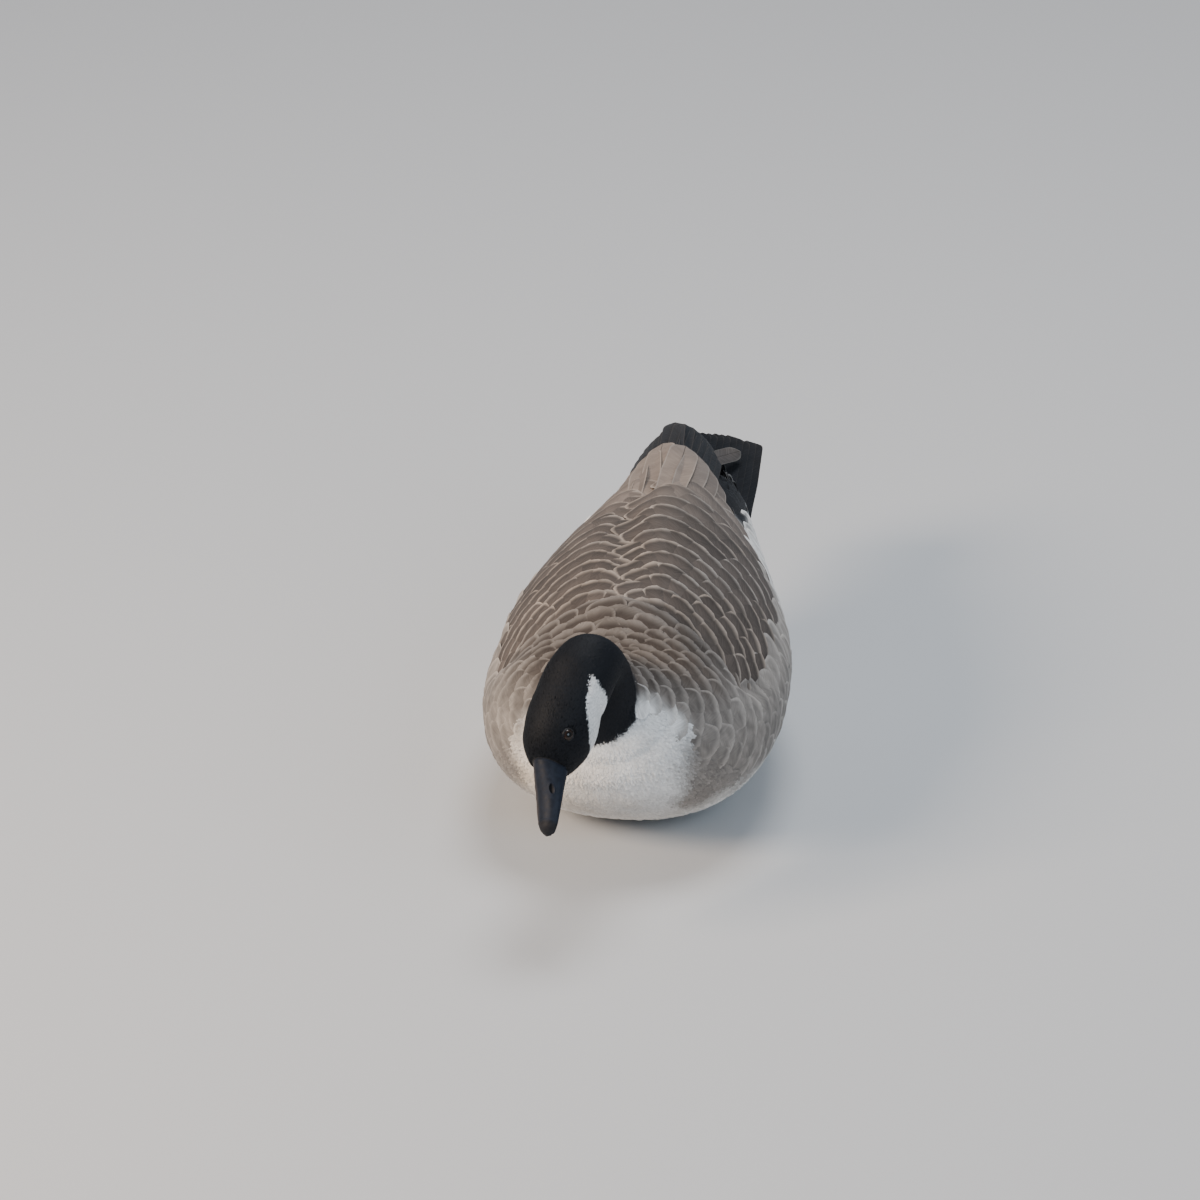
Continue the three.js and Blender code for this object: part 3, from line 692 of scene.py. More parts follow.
def make_piece(name: str, points: np.ndarray, faces: list[np.ndarray], finish: "Finish", slot: str,
               marks: dict[str, np.ndarray], bake: np.ndarray | None = None,
               sharp: float = 0.0) -> bpy.types.Object:
    """Makes one piece of the model from arrays.

    Args:
        name: the piece's name.
        points: places in millimetres.
        faces: arrays of faces, each of one number of corners.
        finish: what it is covered with.
        slot: the record's material slot; not used.
        marks: attributes for each point, colours with four numbers and vectors with three.
        bake: the place of each point on the map named OFBake.
        sharp: the angle in degrees from which an edge is sharp, or 0 for none.

    Returns:
        The new object.
    """
    used = np.zeros(len(points), bool)
    for group in faces:
        used[group.ravel()] = True
    renumber = np.cumsum(used) - 1
    corners = np.concatenate([renumber[group].ravel() for group in faces]).astype(np.int32)
    starts = running(np.concatenate([np.full(len(group), group.shape[1]) for group in faces]))[:-1]
    mesh = bpy.data.meshes.new(name)
    mesh.vertices.add(int(used.sum()))
    fill(mesh.vertices, "co", points[used] * MM)
    mesh.loops.add(len(corners))
    mesh.loops.foreach_set("vertex_index", corners)
    mesh.polygons.add(len(starts))
    mesh.polygons.foreach_set("loop_start", starts.astype(np.int32))
    mesh.update(calc_edges=True)
    mesh.polygons.foreach_set("use_smooth", np.ones(len(starts), bool))
    for key, values in marks.items():
        kind, part = ("FLOAT_COLOR", "color") if values.shape[1] == 4 else ("FLOAT_VECTOR", "vector")
        fill(mesh.attributes.new(key, kind, "POINT").data, part, values[used])
    if bake is not None:
        fill(mesh.uv_layers.new(name="OFBake").data, "uv", bake[used][corners])
    if sharp:
        mesh.set_sharp_from_angle(angle=math.radians(sharp))
    mesh.validate()
    piece = show(name, mesh)
    mesh.materials.append(finish.material())
    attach(piece, "root")
    log.info("%s: %d faces", name, len(starts))
    return piece


def rgba(colour: np.ndarray) -> np.ndarray:
    """Colours with an alpha column of ones."""
    return np.concatenate([colour, np.ones((*colour.shape[:-1], 1))], -1)


class Nodes:
    """A short way to set up a material's nodes."""

    def __init__(self, name: str) -> None:
        """Starts a material with a Principled shader.

        Args:
            name: the material's name.
        """
        self.material = bpy.data.materials.new(name)
        self.material.use_nodes = True
        self.tree = self.material.node_tree
        self.shader = self.tree.nodes["Principled BSDF"]

    def add(self, kind: str, **settings: str | bool) -> bpy.types.Node:
        """A new node.

        Args:
            kind: its type.
            **settings: its settings.

        Returns:
            The node.
        """
        node = self.tree.nodes.new(kind)
        for key, value in settings.items():
            setattr(node, key, value)
        return node

    def feed(self, value: Value, socket: Socket) -> None:
        """Joins a socket to an input, or sets the input to a number or a colour.

        Args:
            value: a socket, a number, or red, green and blue.
            socket: the input.
        """
        if isinstance(value, Socket):
            self.tree.links.new(value, socket)
        else:
            socket.default_value = (*value, 1.0) if isinstance(value, tuple) else value

    def math(self, operation: str, first: Value, second: Value) -> Socket:
        """A Math node.

        Args:
            operation: what it does.
            first: its first input.
            second: its second input.

        Returns:
            Its output.
        """
        node = self.add("ShaderNodeMath", operation=operation)
        self.feed(first, node.inputs[0])
        self.feed(second, node.inputs[1])
        return node.outputs[0]

    def step(self, value: Socket, low: float, high: float, to_low: float = 0.0,
             to_high: float = 1.0) -> Socket:
        """A soft step of a value from one range to another.

        Args:
            value: what is read.
            low: where the step starts.
            high: where it ends.
            to_low: the result up to low.
            to_high: the result from high.

        Returns:
            The result.
        """
        node = self.add("ShaderNodeMapRange", interpolation_type="SMOOTHSTEP")
        for number, given in enumerate((value, low, high, to_low, to_high)):
            self.feed(given, node.inputs[number])
        return node.outputs["Result"]

    def noise(self, vector: Socket, scale: float, detail: float) -> Socket:
        """Noise from 0 to 1.

        Args:
            vector: where it is read.
            scale: how many of its features lie in a metre.
            detail: how many finer sizes are added.

        Returns:
            The noise.
        """
        node = self.add("ShaderNodeTexNoise")
        for key, given in (("Vector", vector), ("Scale", scale), ("Detail", detail)):
            self.feed(given, node.inputs[key])
        return node.outputs["Fac"]

    def object_place(self) -> Socket:
        """Object coordinates."""
        return self.add("ShaderNodeTexCoord").outputs["Object"]

    def attribute(self, name: str) -> bpy.types.Node:
        """An attribute of the piece."""
        return self.add("ShaderNodeAttribute", attribute_name=name)

    def mix(self, share: Value, first: Value, second: Value, kind: str = "MIX") -> Socket:
        """A mix of two colours.

        Args:
            share: how much of the second.
            first: the first colour.
            second: the second colour.
            kind: how they are mixed.

        Returns:
            The mixed colour.
        """
        node = self.add("ShaderNodeMix", data_type="RGBA", blend_type=kind)
        for number, given in ((0, share), (6, first), (7, second)):
            self.feed(given, node.inputs[number])
        return node.outputs[2]

    def shaded(self, colour: Socket, shade: Socket) -> Socket:
        """A colour times a shade.

        Args:
            colour: the colour.
            shade: one number for red, green and blue.

        Returns:
            The product.
        """
        grey = self.add("ShaderNodeCombineColor")
        for socket in grey.inputs:
            self.feed(shade, socket)
        return self.mix(1.0, colour, grey.outputs[0], "MULTIPLY")

    def own_colour(self, shade: Socket) -> None:
        """Gives the shader the piece's own tint times a shade."""
        self.surface(Base_Color=self.shaded(self.attribute("tint").outputs["Color"], shade))

    def bump(self, height: Socket, distance: float, strength: float) -> None:
        """Gives the shader the bump of a height.

        Args:
            height: the height, from 0 to 1.
            distance: how far that is, in metres.
            strength: how much of it is used.
        """
        node = self.add("ShaderNodeBump")
        for key, given in (("Strength", strength), ("Distance", distance), ("Height", height)):
            self.feed(given, node.inputs[key])
        self.surface(Normal=node.outputs["Normal"])

    def surface(self, **values: Value) -> None:
        """Sets the shader's own sockets, with their names' spaces as underscores."""
        for key, value in values.items():
            self.feed(value, self.shader.inputs[key.replace("_", " ")])


@dataclass(frozen=True)
class Finish:
    """What a piece is covered with. Each kind makes its own material once."""

    name: str

    def material(self) -> bpy.types.Material:
        """The material, made at its first use.

        Returns:
            The material.
        """
        if self.name not in bpy.data.materials:
            self.build(Nodes(self.name))
        return bpy.data.materials[self.name]

    def build(self, nodes: Nodes) -> None:
        """Sets up the nodes, which each kind does in its own way."""
        raise NotImplementedError


@dataclass(frozen=True)
class Down(Finish):
    """Fine body feathers: the piece's own colour, varied from tuft to tuft."""

    rough: float = 0.85
    sheen: float = 0.15
    specular: float = 0.25
    streak: float = 0.22

    def build(self, nodes: Nodes) -> None:
        """Colour times two sizes of noise.

        Args:
            nodes: the material's nodes.
        """
        place = nodes.object_place()
        fine, broad = nodes.noise(place, 900.0, 1.0), nodes.noise(place, 70.0, 3.0)
        shade = nodes.math("ADD", nodes.math("MULTIPLY", fine, self.streak), 1 - self.streak * 0.5)
        nodes.own_colour(nodes.math("MULTIPLY", shade, nodes.step(broad, 0.25, 0.75, 0.93, 1.05)))
        nodes.surface(Roughness=nodes.step(fine, 0.2, 0.8, self.rough - 0.06, self.rough + 0.06),
                      Sheen_Weight=self.sheen, Sheen_Roughness=0.5, Specular_IOR_Level=self.specular)


@dataclass(frozen=True)
class Vane(Finish):
    """Flat feathers: a darker middle, a pale worn fringe, a shaft and the slanting lines of barbs."""

    rough: float = 0.75
    specular: float = 0.22
    barb: float = 0.30
    shaft: float = 0.3
    soft: tuple = (0.55, 1.35)
    shaft_colour: tuple = (0.035, 0.028, 0.024)

    def barbs(self, nodes: Nodes, along: Socket, aside: Socket, apart: Socket) -> Socket:
        """Noise drawn out along lines that run out and forward from the shaft, new on each feather.

        Args:
            nodes: the material's nodes.
            along: the distance along the feather.
            aside: the signed distance from its shaft.
            apart: the same without its sign.

        Returns:
            Noise from 0 to 1.
        """
        slant = nodes.math("SUBTRACT", along, nodes.math("MULTIPLY", apart, 0.9))
        lines = nodes.add("ShaderNodeCombineXYZ")
        pick = nodes.attribute("tint").outputs["Alpha"]
        for number, (value, stretch) in enumerate(((slant, 0.85), (aside, 0.09), (pick, 40.0))):
            nodes.feed(nodes.math("MULTIPLY", value, stretch), lines.inputs[number])
        return nodes.noise(lines.outputs[0], 1.0, 3.0)

    def build(self, nodes: Nodes) -> None:
        """The fringe is where the distance to the vane's edge, roughened by the barbs, is small.

        Args:
            nodes: the material's nodes.
        """
        flat = nodes.add("ShaderNodeSeparateXYZ")
        nodes.feed(nodes.attribute("vane").outputs["Vector"], flat.inputs[0])
        along, aside, edge = flat.outputs
        apart = nodes.math("ABSOLUTE", aside, 0.0)
        barbs = self.barbs(nodes, along, aside, apart)
        tint, fringe = nodes.attribute("tint"), nodes.attribute("fringe")
        ragged = nodes.math("ADD", edge, nodes.math("MULTIPLY", nodes.math("SUBTRACT", barbs, 0.5), 2.6))
        inside = nodes.step(nodes.math("DIVIDE", ragged, fringe.outputs["Alpha"]), *self.soft)
        pale = nodes.math("SUBTRACT", 1.0, inside)
        colour = nodes.mix(pale, tint.outputs["Color"], fringe.outputs["Color"])
        shade = nodes.step(barbs, 0.2, 0.8, 1 - self.barb * 0.5, 1 + self.barb * 0.5)
        worn = nodes.step(nodes.noise(nodes.object_place(), 55.0, 3.0), 0.3, 0.7, 0.9, 1.1)
        colour = nodes.shaded(colour, nodes.math("MULTIPLY", shade, worn))
        shaft = nodes.step(apart, 0.2, 0.6, self.shaft, 0.0)
        nodes.bump(nodes.math("SUBTRACT", barbs, nodes.math("MULTIPLY", shaft, 1.5)), 0.0004, 0.55)
        nodes.surface(Base_Color=nodes.mix(shaft, colour, self.shaft_colour),
                      Roughness=nodes.step(barbs, 0.2, 0.8, self.rough + 0.1, self.rough - 0.08),
                      Specular_IOR_Level=self.specular, Sheen_Weight=0.08)


@dataclass(frozen=True)
class Horn(Finish):
    """The bill: horn with fine growth lines, small pits and a soft shine."""

    def build(self, nodes: Nodes) -> None:
        """Colour from the piece's own tint, with streaks and small pits.

        Args:
            nodes: the material's nodes.
        """
        place = nodes.object_place()
        streaks, pits = nodes.noise(place, 260.0, 4.0), nodes.noise(place, 1400.0, 2.0)
        nodes.own_colour(nodes.step(streaks, 0.25, 0.75, 0.75, 1.3))
        nodes.bump(nodes.math("ADD", streaks, nodes.math("MULTIPLY", pits, 0.4)), 0.0003, 0.35)
        nodes.surface(Roughness=nodes.step(streaks, 0.2, 0.8, 0.45, 0.62), Specular_IOR_Level=0.16)


@dataclass(frozen=True)
class Glass(Finish):
    """The eye: a brown iris round a black pupil under a clear wet coat."""

    def build(self, nodes: Nodes) -> None:
        """Colour from the piece's own tint, with small flecks, of which the darker are a little rougher.

        Args:
            nodes: the material's nodes.
        """
        flecks = nodes.step(nodes.noise(nodes.object_place(), 1800.0, 2.0), 0.3, 0.7, 0.7, 1.3)
        nodes.own_colour(flecks)
        nodes.surface(Roughness=nodes.step(flecks, 0.7, 1.3, 0.1, 0.05), Coat_Weight=0.3, Coat_Roughness=0.04,
                      Specular_IOR_Level=0.22)


@dataclass(frozen=True)
class Scales(Finish):
    """Bare dark skin with small scales."""

    size: float = 420.0

    def build(self, nodes: Nodes) -> None:
        """Cells with darker seams between them.

        Args:
            nodes: the material's nodes.
        """
        place = nodes.object_place()
        cells = nodes.add("ShaderNodeTexVoronoi", feature="DISTANCE_TO_EDGE")
        nodes.feed(place, cells.inputs["Vector"])
        nodes.feed(self.size, cells.inputs["Scale"])
        raised = nodes.step(cells.outputs["Distance"], 0.0, 0.18)
        seams = nodes.math("ADD", nodes.math("MULTIPLY", raised, 0.5), 0.6)
        patches = nodes.step(nodes.noise(place, 90.0, 3.0), 0.3, 0.7, 0.8, 1.25)
        nodes.own_colour(nodes.math("MULTIPLY", seams, patches))
        nodes.bump(raised, 0.0003, 0.6)
        nodes.surface(Roughness=nodes.step(raised, 0.0, 1.0, 0.75, 0.5), Specular_IOR_Level=0.4)


PALE_DOWN = Down("pale_down")
BLACK_DOWN = Down("black_down", rough=0.62, sheen=0.0, specular=0.18, streak=0.5)
SKIN_DOWN = Down("down_under_feathers", rough=0.9)
WING_VANE = Vane("wing_vane", barb=0.36, shaft=0.06, soft=(0.1, 1.7))
LONG_VANE = Vane("long_wing_vane", barb=0.22, shaft=0.75)
FLANK_VANE = Vane("flank_vane", rough=0.85, barb=0.34, specular=0.15, shaft=0.03, soft=(0.1, 1.7))
DARK_VANE = Vane("dark_vane", rough=0.6, barb=0.45, specular=0.12, shaft=0.5)
BILL_HORN = Horn("streaked_horn")
EYE_GLASS = Glass("wet_eye")
LEG_SKIN = Scales("scaled_skin")


@dataclass
class Skin:
    """One skin under all the feathers, from the tail to the bill, inside the solids by the coat's depth."""

    rows: int = 260
    columns: int = 110
    depths: tuple = ((0, 5), (9, 5.5), (10.5, 4.5), (12, 3.2), (15, 2.6), (16.5, 2.0), (20, 1.2), (21.4, 1.0),
                     (22, 2.0))
    under_wings: tuple = (-400.0, -12.0)
    lowest: float = 1.2
    flat: float = 1.3
    # Painted shade: the skin keeps this share of the colour of the feathers over it.
    painted_shade: float = 0.8

    def depth(self, at: np.ndarray) -> np.ndarray:
        """The depth of the coat at a station."""
        return np.interp(at, *np.array(self.depths).T)

    def under(self, at: np.ndarray, angle: np.ndarray) -> tuple[np.ndarray, ...]:
        """Places on the skin, with the way out and the way back.

        Args:
            at: stations.
            angle: angles round the body.

        Returns:
            Points, normals and directions to the tail.
        """
        points, out, back = FORM.place(at, angle)
        inner = fit_wings(points - out * self.depth(at)[..., None], *self.under_wings)
        inner[..., 2] = np.maximum(inner[..., 2], self.lowest)
        return inner, out, back

    def build(self) -> None:
        """Lofts the skin's grid, flattens what is nearly on the floor and closes both ends with a point."""
        along = np.linspace(0.02, FACE - 0.001, self.rows)
        at, angle = np.meshgrid(along, full_turn(self.columns), indexing="ij")
        points, _, _ = self.under(at, angle)
        points[..., 2] = np.where(points[..., 2] < self.flat, self.lowest, points[..., 2])
        # The feathers' colour darkened by painted shade, since the skin lies under them.
        colour = Markings.body(points, at) * self.painted_shade
        around = np.arange(self.columns)
        following, last = (around + 1) % self.columns, (self.rows - 1) * self.columns
        tail = np.full_like(around, self.rows * self.columns)
        caps = [np.stack([tail, following, around], -1),
                np.stack([tail + 1, last + around, last + following], -1)]
        faces = [group[:, ::-1] for group in (grid_faces(self.rows, self.columns, True), *caps)]
        points, colour = (np.vstack([grid.reshape(-1, 3), grid[0].mean(0), grid[-1].mean(0)])
                          for grid in (points, colour))
        piece = make_piece("skin", points, faces, SKIN_DOWN, "body_plumage", {"tint": rgba(colour)})
        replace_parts(piece, "torso", "neck", "head")


@dataclass
class Tufts:
    """Fine feathers on part of the body: short blades with three steps, rooted in the skin and lying back.

    The fields without a value are the piece's name, its first and last station, the number of tufts, their
    length at both stations, their width as a share of it, how far their tips stand out, the seed, the finish
    and the slot. Then come what leaves places free of tufts, how far they swing aside, how many more places
    are tried, how closely short ones stand, and how low they may reach. The last four give a tuft's shape: how
    far along its points lie, how wide it is there and how pale, with painted shade darkest at the root,
    and how far across they lie.
    """

    name: str
    start: float
    end: float
    count: int
    long: tuple
    wide: float
    stand: float
    seed: int
    finish: Finish
    slot: str
    skip: Callable[[np.ndarray, np.ndarray, np.ndarray], np.ndarray] | None = None
    spread: float = 0.20
    tries: float = 3.2
    crowding: float = 1.6
    lowest: float = 0.25
    steps: tuple = (0.0, 0.38, 0.74, 1.0)
    leaf: tuple = (0.45, 1.0, 0.8, 0.16)
    # Painted shade along each tuft: darkest at its root, where the tufts over it lie.
    painted_shade: tuple = (0.72, 0.92, 1.04, 1.1)
    sides: tuple = (-1.0, 0.0, 1.0)

    def long_at(self, at: np.ndarray) -> np.ndarray:
        """The tufts' length at a station."""
        return np.interp(at, [self.start, self.end], self.long)

    def roots(self, draw: np.random.Generator) -> tuple[np.ndarray, np.ndarray]:
        """Stations and angles spread evenly: more are drawn, and kept by the area they stand for.

        Args:
            draw: the seeded source of random numbers.

        Returns:
            Stations and angles.
        """
        tries = int(self.count * self.tries)
        at = draw.uniform(self.start, self.end, tries)
        angle = draw.uniform(0, 2 * math.pi, tries)
        here = FORM.surface(at, angle)
        sides = FORM.surface(at + FORM.step, angle) - here, FORM.surface(at, angle + FORM.step) - here
        chance = np.linalg.norm(np.cross(*sides), axis=-1) / self.long_at(at) ** self.crowding
        keep = draw.uniform(size=tries) < chance / np.quantile(chance, 0.97)
        at, angle = at[keep], angle[keep]
        if self.skip is not None:
            kept = ~self.skip(FORM.surface(at, angle), at, angle)
            at, angle = at[kept], angle[kept]
        return at[:self.count], angle[:self.count]

    def build(self) -> None:
        """Makes the tufts.

        A tuft's point at u along and v across is root + back L u + out (s(1 - (1 - u)^1.7) + c w(1 - v^2)) +
        across W w v, with w a leaf's outline at u. On the map, each is a small patch at its root's place.
        """
        draw = np.random.default_rng(self.seed)
        at, angle = self.roots(draw)
        skin, number = Skin(), len(at)
        root, out, back = skin.under(at, angle)
        back = unit(back + np.cross(out, back) * draw.normal(0, self.spread, number)[:, None])
        across = np.cross(out, back)
        size = self.long_at(at) * draw.uniform(0.8, 1.2, number)
        wide = size * self.wide * draw.uniform(0.8, 1.2, number)
        stand = skin.depth(at) * 0.95 + self.stand * draw.uniform(0.2, 1.0, number)
        u, v, leaf = np.array(self.steps), np.array(self.sides), np.array(self.leaf)[:, None]
        path = (root[:, None] + back[:, None] * (size[:, None] * u)[..., None]
                + out[:, None] * (stand[:, None] * (1 - (1 - u) ** 1.7))[..., None])
        crown = 0.16 * each(wide) * leaf * (1 - v ** 2)
        points = (path[:, :, None] + each(across) * (each(wide) * leaf * v)[..., None]
                  + each(out) * crown[..., None])
        points[..., 2] = np.maximum(points[..., 2], self.lowest)
        tint = Markings.body(FORM.surface(at, angle), at) * draw.uniform(0.86, 1.12, (number, 1))
        # Each step of a tuft is darkened by painted shade, most at the root.
        tint = np.repeat(each(tint) * np.array(self.painted_shade)[:, None, None], len(v), 2)
        patch = np.stack([0.02 + 0.96 * (at - self.start) / (self.end - self.start),
                          0.02 + 0.96 * angle / (2 * math.pi)], -1)
        bake = each(patch) + np.stack(np.meshgrid((u - 0.5) * 0.003, v * 0.0015, indexing="ij"), -1)
        faces = repeated(grid_faces(len(u), len(v))[:, ::-1], number, len(u) * len(v))
        make_piece(self.name, points.reshape(-1, 3), [faces], self.finish, self.slot,
                   {"tint": rgba(tint.reshape(-1, 3))}, bake.reshape(-1, 2))


@dataclass
class VaneSet:
    """A set of feathers with a grid of points each, closed and slightly thick.

    Each has a length and half width of its own. The piece's maker gives the places of the points.
    """

    name: str
    long: np.ndarray
    half: np.ndarray
    rows: int = 14
    columns: int = 9
    thick: float = 0.45
    tip: float = 0.75
    square: float = 2.4
    root: float = 0.55
    lowest: float = 0.3

    def __post_init__(self) -> None:
        """Works out the grid and each feather's outline.

        The half width is W (r + (1 - r) s(2u)) (1 - p^q)^(1/2), with p from 0 to 1 over the last part, which
        is tip times W long.
        """
        self.u = 1 - (1 - np.linspace(0, 1, self.rows)) ** 1.9
        self.v = np.linspace(-1, 1, self.columns)
        self.arch = 1 - self.v ** 2
        self.run = self.u[:, None]
        self.blunt = np.clip(self.tip * self.half / self.long, 0.05, 0.6)[:, None]
        past = np.clip((self.u - (1 - self.blunt)) / self.blunt, 0, 1)
        end = np.maximum(np.sqrt(1 - past ** self.square), 0.05)
        self.width = (self.root + (1 - self.root) * smooth(0, 0.5, self.u)) * end
        size = (len(self.long), self.rows, self.columns)
        self.back = np.broadcast_to((self.long[:, None] * (1 - self.u))[..., None], size)
        self.aside = (self.half[:, None] * self.width)[..., None] * self.v

    def edge(self, side_fringe: float) -> np.ndarray:
        """The distance of each point to its vane's edge, counted for more along the sides than at the tip.

        Args:
            side_fringe: the fringe's width along the sides, as a share of that at the tip.

        Returns:
            Millimetres for each point.
        """
        away = smooth(1 - 0.5 * self.blunt, 1 - 1.4 * self.blunt, self.u)[..., None]
        to_side = (self.half[:, None] * self.width)[..., None] * (1 - np.abs(self.v))
        return np.minimum(to_side * (1 + (1 / side_fringe - 1) * away), self.back)

    def build(self, upper: np.ndarray, out: np.ndarray, tint: np.ndarray, fringe: np.ndarray,
              fringe_wide: np.ndarray, finish: Finish, slot: str, seed: int, side_fringe: float = 0.3,
              flip: bool = False) -> bpy.types.Object:
        """Makes the piece.

        Args:
            upper: places of the upper faces, count by rows by columns by three.
            out: the way out for each point.
            tint: the middle's colours, for each feather or each point.
            fringe: the fringe's colours, for each feather.
            fringe_wide: the fringe's widths.
            finish: the finish.
            slot: the material slot.
            seed: for the differences among feathers.
            side_fringe: the fringe's width along the sides, as a share of that at the tip.
            flip: whether the grid runs the other way round.

        Returns:
            The new object.
        """
        shape = upper.shape[:3]
        count, rows, columns = shape
        pick = np.random.default_rng(seed).uniform(0, 1, count)
        inner = np.outer(np.sin(math.pi * self.u) ** 0.35, self.arch ** 0.35)
        lower = upper - np.broadcast_to(out, upper.shape) * (self.thick * inner)[..., None]
        points = np.stack([upper, lower], 1).reshape(-1, 3)
        points[:, 2] = np.maximum(points[:, 2], self.lowest)
        flat = np.stack([each(self.long) - self.back, self.aside, self.edge(side_fringe)], -1)
        middle = tint if tint.ndim == 4 else np.broadcast_to(each(tint), (*shape, 3))
        middle = np.concatenate([middle, np.broadcast_to(each(pick)[..., None], (*shape, 1))], -1)
        rim = each(np.concatenate([fringe, fringe_wide[:, None]], -1))
        side = math.ceil(math.sqrt(count))
        corner = np.stack([np.arange(count) % side, np.arange(count) // side], -1)
        spots = np.stack(np.meshgrid(self.u, (self.v + 1) / 2, indexing="ij"), -1) * 0.86 + 0.07
        flat, middle, rim, bake = (
            np.broadcast_to(part[:, None], (count, 2, rows, columns, last)).reshape(-1, last)
            for part, last in ((flat, 3), (middle, 4), (rim, 4), ((each(corner) + spots) / side, 2)))
        faces = repeated(shell_faces(rows, columns), count, 2 * rows * columns)
        return make_piece(self.name, points, [faces[:, ::-1] if flip else faces], finish, slot,
                          {"tint": middle, "fringe": rim, "vane": flat}, bake, sharp=70)


@dataclass(frozen=True)
class Blades:
    """A group of long feathers at the wing's end.

    Its fields are the piece's name, the y of the roots, the y of the first and last tip, the distance round
    the back of the first and last shaft, their height over the fold, the half width, how many there are, the
    middle's and the fringe's colour, the fringe's width, the finish, the seed, and the shares of the length
    between which they come up to their height.
    """

    name: str
    root: float
    tips: tuple
    aside: tuple
    lifts: tuple
    half: float
    count: int
    colour: np.ndarray
    pale: tuple
    fringe: float
    finish: Finish
    seed: int
    risen: tuple = (0.3, 0.95)


